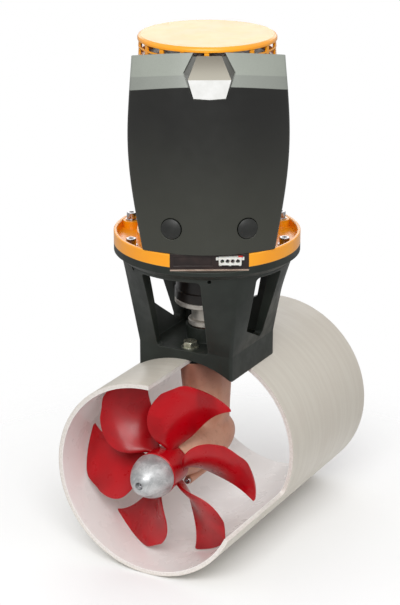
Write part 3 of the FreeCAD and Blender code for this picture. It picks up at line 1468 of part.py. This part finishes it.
# ---------------------------------------------------------------- every named piece
NODES = {
    "tunnel": make_tunnel,
    "tailpiece_gasket": make_tailpiece_gasket,
    "tailpiece": make_tailpiece,
    "gearcase_cap": make_gearcase_cap,
    "cap_screws": make_cap_screws,
    "propshaft_seals": make_propshaft_seals,
    "input_seal": make_input_seal,
    "neck_collar": make_neck_collar,
    "tailpiece_bolts": make_tailpiece_bolts,
    "bolt_washers": make_bolt_washers,
    "motor_bracket": make_bracket,
    "adapter_ring": make_ring,
    "ring_screws": make_ring_screws,
    "ring_washers": make_ring_washers,
    "motor_casing": make_motor_casing,
    "lower_end_shield": make_lower_shield,
    "upper_end_shield": make_upper_shield,
    "motor_bearings": make_motor_bearings,
    "pole_pieces": make_pole_pieces,
    "brush_holder": make_brush_holder,
    "carbon_brushes": make_brushes,
    "motor_cap": make_motor_cap,
    "front_cover": make_cover,
    "cover_badge": make_badge,
    "cover_plugs": make_cover_plugs,
    "cover_screws": make_cover_screws,
    "cover_standoffs": make_cover_standoffs,
    "control_box": make_control_box,
    "box_plate": make_box_plate,
    "control_connector": make_connector,
    "connector_pins": make_connector_pins,
    "connector_latch": make_connector_latch,
    "solenoids": make_solenoids,
    "solenoid_saddles": make_solenoid_saddles,
    "terminal_studs": make_terminal_studs,
    "drive_bearings": make_drive_bearings,
    "prop_bearings": make_prop_bearings,
    "motor_shaft": make_motor_shaft,
    "armature_core": make_armature,
    "armature_windings": make_windings,
    "commutator": make_commutator,
    "coupling_drum": make_coupling_drum,
    "coupling_spider": make_coupling_spider,
    "coupling_flange": make_coupling_lower,
    "coupling_keys": make_coupling_keys,
    "drive_shaft": make_drive_shaft,
    "pinion_gear": make_pinion,
    "pinion_pin": make_pinion_pin,
    "prop_shaft": make_prop_shaft,
    "wheel_gear": make_wheel,
    "gear_key": make_gear_key,
    "drive_pin": make_drive_pin,
    "propeller": make_propeller,
    "prop_washer": make_prop_washer,
    "prop_nut": make_prop_nut,
    "anode": make_anode,
    "anode_screw": make_anode_screw,
}

os.makedirs("parts", exist_ok=True)
for name, make in NODES.items():
    shape = make()
    if len(shape.Solids) == 1:
        shape = shape.Solids[0]
    shape.exportStep("parts/" + name + ".step")
    print(name, len(shape.Solids), "solids", round(shape.Volume), "mm3", "valid" if shape.isValid() else "INVALID")
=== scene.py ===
"""Bow thruster: finishes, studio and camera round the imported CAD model, in metres.

The row frame: origin where the tunnel axis meets the drive axis, +Z up to the motor,
the tunnel along Y with the propeller on the -Y side. The motor head faces 30 degrees
from -Y towards +X.
"""
import math

import bpy
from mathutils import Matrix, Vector


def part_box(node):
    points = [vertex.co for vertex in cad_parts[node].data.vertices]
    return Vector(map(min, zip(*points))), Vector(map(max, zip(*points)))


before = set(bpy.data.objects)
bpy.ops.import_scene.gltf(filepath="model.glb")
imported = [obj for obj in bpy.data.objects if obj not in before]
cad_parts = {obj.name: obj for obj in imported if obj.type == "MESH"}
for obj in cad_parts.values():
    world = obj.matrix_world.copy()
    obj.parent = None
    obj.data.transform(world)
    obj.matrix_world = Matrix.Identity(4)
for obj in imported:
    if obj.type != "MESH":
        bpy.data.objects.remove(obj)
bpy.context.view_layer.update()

# ---------------------------------------------------------------- levels taken from the CAD
TUNNEL_WALL = 0.006
TUNNEL_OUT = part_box("tunnel")[1].z
TUNNEL_IN = TUNNEL_OUT - TUNNEL_WALL
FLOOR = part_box("tunnel")[0].z
RING_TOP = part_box("adapter_ring")[1].z
HEAD_TURN = math.radians(30)

# The cover and its badge; heights are above the ring's top.
COVER_FOOT = 0.19                        # below this the cover is painted paler towards its foot, painted light
CREASES = ((0.210, 0.012), (0.2235, 0.0105))      # the two creases, above which a light grey reflection is painted: height, drop at the corner
CORNER = 0.095                           # half-width at which that drop is measured
BADGE_BREAK = 0.218                      # where the badge's two facets meet
BADGE_SHADE = 0.026                      # rise over which its upper facet is painted darker, painted shade
GROOVE_UPPER = (-0.548, 0.0162, 0.252)   # groove's side above the badge's corner: slope, half-width, height
GROOVE_LOWER = (0.376, 0.0199, 0.1955)   # the same below that corner
GROOVE_FOOT = 0.194                      # the groove ends here

LEG_SHADE = (0.055, 0.118)                # heights above the tunnel's axis between which the leg is painted darker, painted shade under the tunnel's top


# ---------------------------------------------------------------- colour and node helpers
BEVEL_SAMPLES = 6
EDGE_SHARP = 0.86         # cosine between the rounded and the true normal at a full edge
EDGE_FLAT = 0.995         # and where the face counts as flat


def linear(r, g, b):
    """Scene-linear colour of an sRGB triple in 0..255."""
    out = []
    for value in (r, g, b):
        c = value / 255.0
        out.append(c / 12.92 if c <= 0.04045 else ((c + 0.055) / 1.055) ** 2.4)
    return out[0], out[1], out[2], 1.0


class Nodes:
    """An emptied node tree, of a material or of the world."""

    def __init__(self, owner):
        owner.use_nodes = True
        self.tree = owner.node_tree
        self.tree.nodes.clear()

    def add(self, kind, **values):
        node = self.tree.nodes.new(kind)
        for key, value in values.items():
            setattr(node, key, value)
        return node

    def link(self, source, target):
        self.tree.links.new(source, target)

    def put(self, value, target):
        """Links a socket, or writes a plain number or colour."""
        if isinstance(value, bpy.types.NodeSocket):
            self.link(value, target)
        else:
            target.default_value = value

    def math(self, operation, a, b=0.0, c=None, clamp=False):
        node = self.add("ShaderNodeMath", operation=operation, use_clamp=clamp)
        self.put(a, node.inputs[0])
        self.put(b, node.inputs[1])
        if c is not None:
            self.put(c, node.inputs[2])
        return node.outputs[0]

    def span(self, value, low, high, to_low=0.0, to_high=1.0):
        """Maps low..high to to_low..to_high, smoothly and clamped."""
        node = self.add("ShaderNodeMapRange", interpolation_type="SMOOTHSTEP")
        self.put(value, node.inputs["Value"])
        node.inputs["From Min"].default_value = low
        node.inputs["From Max"].default_value = high
        node.inputs["To Min"].default_value = to_low
        node.inputs["To Max"].default_value = to_high
        return node.outputs["Result"]

    def parts(self, vector):
        """The vector's X, Y and Z."""
        node = self.add("ShaderNodeSeparateXYZ")
        self.link(vector, node.inputs[0])
        return node.outputs[0], node.outputs[1], node.outputs[2]

    def blend(self, share, a, b):
        """Mixes two shaders."""
        node = self.add("ShaderNodeMixShader")
        self.link(share, node.inputs[0])
        self.link(a, node.inputs[1])
        self.link(b, node.inputs[2])
        return node.outputs[0]


class Shader(Nodes):
    """A procedural material that is built up layer by layer."""

    def __init__(self, name):
        self.material = bpy.data.materials.new(name)
        super().__init__(self.material)
        self.out = self.add("ShaderNodeOutputMaterial")
        self.main = self.add("ShaderNodeBsdfPrincipled")
        self.link(self.main.outputs["BSDF"], self.out.inputs["Surface"])
        self.where = self.add("ShaderNodeTexCoord").outputs["Object"]
        self.bumps = None

    def axes(self):
        """The place's X, Y and Z."""
        return self.parts(self.where)

    def length(self, a, b):
        """Root of a squared plus b squared."""
        return self.math("SQRT", self.math("ADD", self.math("MULTIPLY", a, a), self.math("MULTIPLY", b, b)))

    def stretched(self, x, y, z):
        """The place with its axes scaled."""
        node = self.add("ShaderNodeVectorMath", operation="MULTIPLY")
        self.link(self.where, node.inputs[0])
        node.inputs[1].default_value = (x, y, z)
        return node.outputs[0]

    def noise(self, scale, detail=4.0, rough=0.55, place=None, distortion=0.0):
        node = self.add("ShaderNodeTexNoise")
        self.link(place or self.where, node.inputs["Vector"])
        node.inputs["Scale"].default_value = scale
        node.inputs["Detail"].default_value = detail
        node.inputs["Roughness"].default_value = rough
        node.inputs["Distortion"].default_value = distortion
        return node.outputs["Fac"]

    def cells(self, scale):
        """Distance to the nearest of the scattered points that make a pebbled grain."""
        node = self.add("ShaderNodeTexVoronoi")
        self.link(self.where, node.inputs["Vector"])
        node.inputs["Scale"].default_value = scale
        return node.outputs["Distance"]

    def mix(self, share, a, b):
        node = self.add("ShaderNodeMix", data_type="RGBA")
        self.put(share, node.inputs[0])
        self.put(a, node.inputs[6])
        self.put(b, node.inputs[7])
        return node.outputs[2]

    def edges(self, radius):
        """1 along the part's edges, 0 on its faces."""
        soft = self.add("ShaderNodeBevel", samples=BEVEL_SAMPLES)
        soft.inputs["Radius"].default_value = radius
        hard = self.add("ShaderNodeNewGeometry")
        dot = self.add("ShaderNodeVectorMath", operation="DOT_PRODUCT")
        self.link(soft.outputs[0], dot.inputs[0])
        self.link(hard.outputs["Normal"], dot.inputs[1])
        return self.span(dot.outputs["Value"], EDGE_SHARP, EDGE_FLAT, 1.0, 0.0)

    def bump(self, height, strength, distance):
        """Adds a layer of relief; layers stack."""
        node = self.add("ShaderNodeBump")
        node.inputs["Strength"].default_value = strength
        node.inputs["Distance"].default_value = distance
        self.put(height, node.inputs["Height"])
        if self.bumps is not None:
            self.link(self.bumps, node.inputs["Normal"])
        self.bumps = node.outputs["Normal"]

    def rounded(self, radius):
        """Softens the part's edges in the shading."""
        node = self.add("ShaderNodeBevel", samples=BEVEL_SAMPLES)
        node.inputs["Radius"].default_value = radius
        if self.bumps is not None:
            self.link(self.bumps, node.inputs["Normal"])
        self.bumps = node.outputs["Normal"]

    def done(self, colour, rough, **plain):
        """Sets the surface; plain names other Principled sockets, with _ for a blank."""
        self.put(colour, self.main.inputs["Base Color"])
        self.put(rough, self.main.inputs["Roughness"])
        for key, value in plain.items():
            self.main.inputs[key.replace("_", " ")].default_value = value
        if self.bumps is not None:
            self.link(self.bumps, self.main.inputs["Normal"])
        return self.material


def finish(name, colour, dark, light, wear, rough, scale, grain, relief, edge, rub=0.5, **plain):
    """A painted, moulded or cast surface: soft blotches, fine grain, and lighter worn edges.

    The four colours are sRGB triples, and rough is the range of roughness. scale and grain are the
    blotches and the grain per metre, relief is the grain's height, edge is the rounding in metres,
    and rub is how far the wear colour shows along the edges.
    """
    s = Shader(name)
    dark = linear(*dark)
    blotch = s.noise(scale)
    fine = s.noise(grain, 2.0)
    tone = s.mix(s.span(blotch, 0.35, 0.65), dark, linear(*light))
    tone = s.mix(0.55, tone, linear(*colour))
    tone = s.mix(s.span(fine, 0.3, 0.75, 0.0, 0.22), tone, dark)
    patches = s.span(s.noise(scale * 5), 0.35, 0.7, 0.15, rub)
    tone = s.mix(s.math("MULTIPLY", s.edges(edge * 1.6), patches), tone, linear(*wear))
    gloss = s.span(s.noise(scale * 2.3, 5.0), 0.3, 0.7, *rough)
    s.bump(fine, relief, 0.0003)
    s.rounded(edge)
    return s.done(tone, gloss, **plain)


# ---------------------------------------------------------------- materials
def tunnel_laminate():
    """Glass-fibre pipe: ground outside, smooth gelcoat inside, pale cut edges."""
    s = Shader("tunnel_laminate")
    x, _, z = s.axes()
    radius = s.length(x, z)
    outside = s.span(radius, TUNNEL_OUT - 0.0009, TUNNEL_OUT - 0.0004)
    inside = s.span(radius, TUNNEL_IN + 0.0004, TUNNEL_IN + 0.0009, 1.0, 0.0)
    hoops = s.noise(1.0, 5.0, 0.6, s.stretched(10, 150, 10))
    broad = s.noise(7.0, 4.0, 0.6)
    fibre = s.noise(1.0, 3.0, 0.7, s.stretched(60, 900, 60))
    shell = s.mix(s.span(hoops, 0.36, 0.66), linear(200, 193, 181), linear(206, 200, 188))
    shell = s.mix(s.span(broad, 0.42, 0.66, 0.0, 0.4), shell, linear(199, 190, 178))
    shell = s.mix(s.span(broad, 0.62, 0.78, 0.0, 0.35), shell, linear(182, 177, 165))
    shell = s.mix(s.span(fibre, 0.45, 0.8, 0.0, 0.12), shell, linear(216, 212, 202))
    bore = s.mix(s.span(s.noise(5.0, 3.0), 0.35, 0.65), linear(236, 231, 228), linear(242, 238, 236))
    layers = s.noise(1.0, 2.0, 0.5, s.stretched(420, 160, 420))
    cut = s.mix(s.span(layers, 0.3, 0.7), linear(214, 207, 200), linear(228, 222, 216))
    tone = s.mix(outside, cut, shell)
    tone = s.mix(inside, tone, bore)
    tone = s.mix(s.math("MULTIPLY", s.edges(0.0009), 0.3), tone, linear(230, 226, 220))
    gloss = s.span(s.noise(24.0, 4.0), 0.3, 0.7, 0.34, 0.5)
    gloss = s.math("SUBTRACT", gloss, s.math("MULTIPLY", inside, 0.13))
    s.bump(fibre, 0.05, 0.0003)
    s.bump(s.noise(11.0, 2.0), 0.15, 0.0012)
    s.rounded(0.0008)
    return s.done(tone, gloss, Specular_IOR_Level=0.4, Coat_Weight=0.15, Coat_Roughness=0.25)


def cast_bronze():
    """Sand-cast bronze with painted shade: darker towards the top of the leg."""
    s = Shader("cast_bronze")
    height = s.axes()[2]
    blotch = s.noise(38.0, 5.0)
    fine = s.noise(1300.0, 2.0)
    tone = s.mix(s.span(blotch, 0.35, 0.68), linear(204, 146, 120), linear(226, 176, 150))
    tone = s.mix(s.span(s.noise(150.0, 3.0), 0.5, 0.75, 0.0, 0.35), tone, linear(172, 112, 88))
    # painted shade: darker towards the top of the leg, under the tunnel's top, broken up by the blotches
    painted_shade = s.math("ADD", s.span(height, *LEG_SHADE), s.span(blotch, 0.3, 0.7, -0.12, 0.12), clamp=True)
    tone = s.mix(s.math("MULTIPLY", painted_shade, 0.75), tone, linear(112, 60, 46))
    rub = s.math("MULTIPLY", s.edges(0.0012), 0.5)
    tone = s.mix(rub, tone, linear(226, 170, 138))
    gloss = s.span(blotch, 0.3, 0.7, 0.36, 0.52)
    s.bump(fine, 0.18, 0.0004)
    s.bump(s.noise(300.0, 3.0), 0.15, 0.0008)
    s.rounded(0.001)
    return s.done(tone, gloss, Metallic=0.3, Specular_IOR_Level=0.5)


def cast_zinc():
    """Rough cast zinc, grey with darker pores."""
    s = Shader("cast_zinc")
    patch = s.noise(70.0, 6.0, 0.7, distortion=0.5)
    tone = s.mix(s.span(patch, 0.3, 0.7), linear(158, 160, 161), linear(212, 213, 213))
    tone = s.mix(s.span(s.noise(420.0, 3.0), 0.56, 0.8, 0.0, 0.5), tone, linear(112, 114, 115))
    gloss = s.span(s.noise(160.0, 5.0), 0.3, 0.72, 0.36, 0.6)
    s.bump(patch, 0.22, 0.0006)
    s.bump(s.noise(1500.0, 2.0), 0.2, 0.0002)
    s.rounded(0.0008)
    return s.done(tone, gloss, Metallic=0.6)


def red_propeller():
    """Deep red moulded nylon with a soft gloss."""
    s = Shader("red_propeller")
    flow = s.noise(16.0, 3.0, 0.5, distortion=0.8)
    tone = s.mix(s.span(flow, 0.35, 0.65), linear(152, 0, 11), linear(180, 1, 17))
    tone = s.mix(s.math("MULTIPLY", s.edges(0.0009), 0.35), tone, linear(204, 20, 34))
    gloss = s.span(s.noise(70.0, 4.0), 0.3, 0.7, 0.26, 0.36)
    s.bump(s.noise(30.0, 1.0), 0.06, 0.001)
    s.bump(s.noise(1700.0, 2.0), 0.02, 0.0001)
    s.rounded(0.0007)
    return s.done(tone, gloss, Specular_IOR_Level=0.3, Coat_Weight=0.12, Coat_Roughness=0.14)


def cover_plastic():
    """Dark textured shell with painted light: paler towards its foot, and a painted light grey reflection on
    the facets above its two creases.
    """
    s = Shader("cover_plastic")
    x, y, z = s.axes()
    # painted light: the shell is painted paler towards its foot
    low = s.span(z, RING_TOP, RING_TOP + COVER_FOOT, 1.0, 0.0)
    tone = s.mix(low, linear(22, 22, 20), linear(56, 57, 50))
    across_x = s.math("MULTIPLY", x, math.cos(HEAD_TURN))
    across_y = s.math("MULTIPLY", y, math.sin(HEAD_TURN))
    width = s.math("ABSOLUTE", s.math("ADD", across_x, across_y))
    share = s.math("POWER", s.math("DIVIDE", width, CORNER), 2.0)
    # painted reflection: each facet above a crease is painted light grey, standing in for the studio light's
    # reflection on the dark plastic
    for (height, drop), facet_reflection in zip(CREASES, (linear(139, 143, 136), linear(152, 157, 148))):
        above = s.math("ADD", s.math("SUBTRACT", z, RING_TOP + height), s.math("MULTIPLY", share, drop))
        tone = s.mix(s.span(above, -0.0003, 0.0005), tone, facet_reflection)
    sides = []
    for slope, half_width, height in (GROOVE_UPPER, GROOVE_LOWER):
        sides.append(s.math("MULTIPLY_ADD", z, slope, half_width - slope * (RING_TOP + height)))
    groove = s.span(s.math("SUBTRACT", s.math("MINIMUM", *sides), width), 0.0, 0.0003)
    groove = s.math("MULTIPLY", groove, s.math("GREATER_THAN", z, RING_TOP + GROOVE_FOOT))
    tone = s.mix(groove, tone, linear(70, 71, 65))
    grain = s.noise(1500.0, 2.0, 0.5)
    cells = s.cells(1800.0)
    tone = s.mix(s.span(grain, 0.35, 0.8, 0.0, 0.15), tone, linear(20, 21, 19))
    tone = s.mix(s.span(s.noise(9.0, 4.0), 0.4, 0.7, 0.0, 0.12), tone, linear(60, 61, 54))
    tone = s.mix(s.math("MULTIPLY", s.edges(0.0012), 0.35), tone, linear(104, 106, 97))
    gloss = s.span(s.noise(60.0, 4.0), 0.3, 0.7, 0.34, 0.42)
    s.bump(cells, 0.08, 0.0002)
    s.rounded(0.0011)
    return s.done(tone, gloss, Specular_IOR_Level=0.5)


def badge_silver():
    """Satin silver badge whose upper facet carries painted shade, darker than the lower one."""
    s = Shader("badge_silver")
    z = s.axes()[2]
    fold = RING_TOP + BADGE_BREAK
    # painted shade: the upper facet is painted darker, more so towards its top
    rise = s.span(z, fold, fold + BADGE_SHADE)
    shaded_upper = s.mix(rise, linear(158, 153, 139), linear(112, 106, 92))
    lower = s.mix(s.span(s.noise(60.0), 0.35, 0.65), linear(214, 214, 211), linear(224, 224, 222))
    tone = s.mix(s.span(z, fold - 0.0003, fold + 0.0003), lower, shaded_upper)
    tone = s.mix(s.math("MULTIPLY", s.edges(0.0006), 0.4), tone, linear(246, 246, 243))
    gloss = s.span(s.noise(180.0, 4.0), 0.3, 0.7, 0.3, 0.4)
    s.bump(s.noise(2400.0, 2.0), 0.04, 0.0002)
    s.rounded(0.0005)
    return s.done(tone, gloss, Specular_IOR_Level=0.5)


def turned_steel(name, tone_a, tone_b, axis, scale=2600.0, rough=(0.2, 0.34)):
    """Machined metal with fine rings about the Z or the Y axis; scale is the rings per metre."""
    s = Shader(name)
    along = s.axes()["XYZ".index(axis)]
    rings = s.add("ShaderNodeTexNoise", noise_dimensions="1D")
    s.link(s.math("MULTIPLY", along, scale), rings.inputs["W"])
    rings.inputs["Scale"].default_value = 1.0
    rings.inputs["Detail"].default_value = 3.0
    tone = s.mix(s.span(rings.outputs["Fac"], 0.3, 0.7), linear(*tone_a), linear(*tone_b))
    tone = s.mix(s.span(s.noise(90.0, 4.0), 0.5, 0.75, 0.0, 0.25), tone, linear(150, 142, 134))
    tone = s.mix(s.math("MULTIPLY", s.edges(0.0006), 0.6), tone, linear(240, 238, 232))
    gloss = s.span(s.noise(200.0, 4.0), 0.3, 0.7, *rough)
    s.rounded(0.0004)
    return s.done(tone, gloss, Metallic=0.65)


MATERIALS = {
    "tunnel_laminate": tunnel_laminate(),
    "cast_bronze": cast_bronze(),
    "cast_zinc": cast_zinc(),
    "red_propeller": red_propeller(),
    "cover_plastic": cover_plastic(),
    "steel_z": turned_steel("steel_z", (196, 190, 182), (212, 207, 199), "Z", 1200.0, (0.34, 0.46)),
    "steel_y": turned_steel("steel_y", (178, 176, 172), (214, 212, 208), "Y"),
    "copper": turned_steel("copper", (176, 104, 66), (206, 134, 92), "Z", 1500.0, (0.28, 0.45)),
    "black_casting": finish(
        "black_casting", colour=(33, 38, 33), dark=(24, 28, 24), light=(43, 48, 43),
        wear=(84, 90, 83), rough=(0.4, 0.52), scale=26.0, grain=1100.0, relief=0.2, edge=0.0012, rub=0.45,
        Specular_IOR_Level=0.4),
    "orange_paint": finish(
        "orange_paint", colour=(252, 164, 18), dark=(248, 155, 14), light=(254, 173, 24),
        wear=(255, 200, 90), rough=(0.28, 0.33), scale=22.0, grain=1400.0, relief=0.06, edge=0.0009,
        Specular_IOR_Level=0.5, Coat_Weight=0.35, Coat_Roughness=0.2),
    "badge_silver": badge_silver(),
    "plug_black": finish(
        "plug_black", colour=(30, 31, 29), dark=(22, 23, 21), light=(40, 41, 38),
        wear=(86, 88, 82), rough=(0.4, 0.5), scale=90.0, grain=1900.0, relief=0.12, edge=0.0008, rub=0.4),
    "drum_black": finish(
        "drum_black", colour=(30, 24, 22), dark=(20, 17, 16), light=(44, 36, 33),
        wear=(112, 96, 88), rough=(0.3, 0.42), scale=60.0, grain=1300.0, relief=0.12, edge=0.0008),
    "motor_black": finish(
        "motor_black", colour=(36, 37, 36), dark=(26, 27, 26), light=(50, 51, 49),
        wear=(96, 96, 92), rough=(0.36, 0.5), scale=30.0, grain=1200.0, relief=0.1, edge=0.0008),
    "plate_bright": finish(
        "plate_bright", colour=(186, 162, 146), dark=(160, 136, 120), light=(208, 188, 172),
        wear=(226, 208, 194), rough=(0.3, 0.45), scale=60.0, grain=1500.0, relief=0.05, edge=0.0004, rub=0.4,
        Metallic=0.3),
    "box_brown": finish(
        "box_brown", colour=(41, 30, 28), dark=(28, 20, 19), light=(62, 46, 42),
        wear=(104, 86, 78), rough=(0.3, 0.45), scale=55.0, grain=1500.0, relief=0.08, edge=0.0005, rub=0.4),
    "nylon_white": finish(
        "nylon_white", colour=(226, 224, 217), dark=(210, 206, 197), light=(238, 237, 232),
        wear=(246, 245, 241), rough=(0.4, 0.52), scale=140.0, grain=2200.0, relief=0.08, edge=0.0003,
        Subsurface_Weight=0.05),
    "latch_red": finish(
        "latch_red", colour=(196, 36, 26), dark=(176, 26, 20), light=(214, 52, 38),
        wear=(232, 92, 76), rough=(0.3, 0.42), scale=200.0, grain=2000.0, relief=0.05, edge=0.0002),
    "rubber": finish(
        "rubber", colour=(27, 27, 27), dark=(20, 20, 20), light=(38, 38, 37),
        wear=(64, 64, 62), rough=(0.55, 0.7), scale=90.0, grain=1600.0, relief=0.2, edge=0.0004, rub=0.4),
    "carbon": finish(
        "carbon", colour=(38, 38, 40), dark=(26, 26, 28), light=(52, 52, 54),
        wear=(84, 84, 86), rough=(0.45, 0.6), scale=160.0, grain=2600.0, relief=0.15, edge=0.0002, rub=0.4),
    "grey_iron": finish(
        "grey_iron", colour=(104, 102, 99), dark=(84, 83, 80), light=(126, 124, 120),
        wear=(164, 162, 158), rough=(0.4, 0.55), scale=60.0, grain=1400.0, relief=0.2, edge=0.0005,
        Metallic=0.8),
    "plated_screw": finish(
        "plated_screw", colour=(196, 194, 196), dark=(150, 148, 152), light=(226, 225, 226),
        wear=(244, 244, 244), rough=(0.16, 0.28), scale=320.0, grain=2600.0, relief=0.05, edge=0.0003,
        rub=0.6, Metallic=1.0),
    "zinc_bolt": finish(
        "zinc_bolt", colour=(190, 190, 172), dark=(146, 148, 130), light=(222, 222, 206),
        wear=(238, 238, 226), rough=(0.22, 0.4), scale=240.0, grain=2400.0, relief=0.08, edge=0.0004, rub=0.6,
        Metallic=0.95),
}

FINISHES = {
    "tunnel_laminate": ["tunnel"],
    "cast_bronze": ["tailpiece", "gearcase_cap"],
    "cast_zinc": ["anode"],
    "red_propeller": ["propeller"],
    "cover_plastic": ["front_cover"],
    "black_casting": ["motor_bracket"],
    "orange_paint": ["adapter_ring", "motor_cap"],
    "badge_silver": ["cover_badge"],
    "plug_black": ["cover_plugs"],
    "drum_black": ["coupling_drum", "brush_holder"],
    "motor_black": ["motor_casing", "cover_standoffs", "solenoids"],
    "box_brown": ["control_box"],
    "nylon_white": ["control_connector"],
    "latch_red": ["connector_latch"],
    "rubber": ["propshaft_seals", "input_seal", "coupling_spider", "tailpiece_gasket"],
    "copper": ["armature_windings", "commutator", "terminal_studs"],
    "carbon": ["carbon_brushes", "connector_pins"],
    "grey_iron": ["armature_core", "pole_pieces", "lower_end_shield", "upper_end_shield"],
    "plated_screw": ["ring_screws", "ring_washers", "cap_screws", "cover_screws", "anode_screw", "prop_nut",
                     "prop_washer", "drive_pin", "gear_key", "pinion_pin", "coupling_keys"],
    "zinc_bolt": ["tailpiece_bolts", "bolt_washers", "solenoid_saddles"],
    "steel_z": ["neck_collar", "coupling_flange", "drive_shaft", "motor_shaft", "pinion_gear",
                "motor_bearings", "drive_bearings"],
    "plate_bright": ["box_plate"],
    "steel_y": ["prop_shaft", "wheel_gear", "prop_bearings"],
}

for finish_name, nodes in FINISHES.items():
    for node in nodes:
        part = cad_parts[node]
        if not part.material_slots:
            part.data.materials.append(MATERIALS[finish_name])
        for place in part.material_slots:
            place.material = MATERIALS[finish_name]


# ---------------------------------------------------------------- studio
AMBIENT_BELOW = 0.46            # strength of the ambient light from below the horizon
AMBIENT_ABOVE = 0.72            # and from above it
AMBIENT_TURN = (-0.35, 0.45)    # heights on the unit sphere between which it changes
WHITE = (1.0, 1.0, 1.0, 1.0)
FLOOR_RADIUS = 4.0
FLOOR_GAP = 0.0005              # between the floor and the tunnel's lowest point
FLOOR_FADE = (0.2, 0.6)         # distances between which the floor fades out
LAMP_AIM = (0.0, 0.0, 0.22)
CAMERA_AIM = (-0.007983, -0.004374, 0.189846)
CAMERA_DISTANCE = 2.516869
CAMERA_AZIMUTH = 28.7197
CAMERA_ELEVATION = 19.7167
LENS = 114.97                   # millimetres, on a picture 36 mm tall
PICTURE_HEIGHT = 36.0


def outward(azimuth, elevation):
    """Unit vector away from the object, in degrees: azimuth 0 is the -Y side, 90 the +X side."""
    turn = math.radians(azimuth)
    rise = math.radians(elevation)
    return Vector((math.sin(turn) * math.cos(rise), -math.cos(turn) * math.cos(rise), math.sin(rise)))


def stand(name, data, aim, azimuth, elevation, distance):
    """Puts a lamp or the camera round the object, upright and facing the aim."""
    away = outward(azimuth, elevation)
    holder = bpy.data.objects.new(name, data)
    bpy.context.scene.collection.objects.link(holder)
    holder.location = Vector(aim) + away * distance
    holder.rotation_euler = away.to_track_quat("Z", "Y").to_euler()
    return holder


def make_floor():
    """Pale round floor that fades into the white background."""
    place = (0, 0, FLOOR - FLOOR_GAP)
    bpy.ops.mesh.primitive_circle_add(vertices=96, radius=FLOOR_RADIUS, fill_type="NGON", location=place)
    floor = bpy.context.object
    floor.name = "studio_floor"
    s = Shader("studio_floor")
    x, y, _ = s.axes()
    paper = s.mix(s.noise(600.0, 2.0), linear(246, 246, 246), linear(252, 252, 252))
    s.done(paper, 0.9, Specular_IOR_Level=0.1)
    clear = s.add("ShaderNodeBsdfTransparent")
    faded = s.blend(s.span(s.length(x, y), *FLOOR_FADE), s.main.outputs["BSDF"], clear.outputs[0])
    s.link(faded, s.out.inputs["Surface"])
    floor.data.materials.append(s.material)


def softbox(name, azimuth, elevation, distance, width, height, power):
    """Rectangular lamp that the camera doesn't see."""
    lamp = bpy.data.lights.new(name, "AREA")
    lamp.shape = "RECTANGLE"
    lamp.size = width
    lamp.size_y = height
    lamp.energy = power
    holder = stand(name, lamp, LAMP_AIM, azimuth, elevation, distance)
    holder.visible_camera = False


def make_world():
    """White behind the object for camera and transmission rays, and the ambient light for all others.

    The ambient light is brighter above the horizon than below it, and gloss reflects it.
    """
    world = bpy.data.worlds.new("studio")
    bpy.context.scene.world = world
    n = Nodes(world)
    out = n.add("ShaderNodeOutputWorld")
    path = n.add("ShaderNodeLightPath")
    seen = n.math("MAXIMUM", path.outputs["Is Camera Ray"], path.outputs["Is Transmission Ray"])
    rise = n.parts(n.add("ShaderNodeTexCoord").outputs["Generated"])[2]
    ambient = n.add("ShaderNodeBackground")
    ambient.inputs["Color"].default_value = WHITE
    n.link(n.span(rise, *AMBIENT_TURN, AMBIENT_BELOW, AMBIENT_ABOVE), ambient.inputs["Strength"])
    backdrop = n.add("ShaderNodeBackground")
    backdrop.inputs["Color"].default_value = WHITE
    backdrop.inputs["Strength"].default_value = 1.0
    n.link(n.blend(seen, ambient.outputs[0], backdrop.outputs[0]), out.inputs["Surface"])


def make_camera():
    """Camera at the product shot's viewing angle."""
    lens = bpy.data.cameras.new("camera")
    lens.sensor_fit = "VERTICAL"
    lens.sensor_height = PICTURE_HEIGHT
    lens.lens = LENS
    camera = stand("camera", lens, CAMERA_AIM, CAMERA_AZIMUTH, CAMERA_ELEVATION, CAMERA_DISTANCE)
    bpy.context.scene.camera = camera


make_floor()
make_world()
softbox("key_box", azimuth=24, elevation=37, distance=2.4, width=1.6, height=1.0, power=36.0)
softbox("back_box", azimuth=205, elevation=22, distance=2.6, width=2.6, height=0.9, power=11.0)
make_camera()
bpy.context.scene.view_settings.view_transform = "Standard"
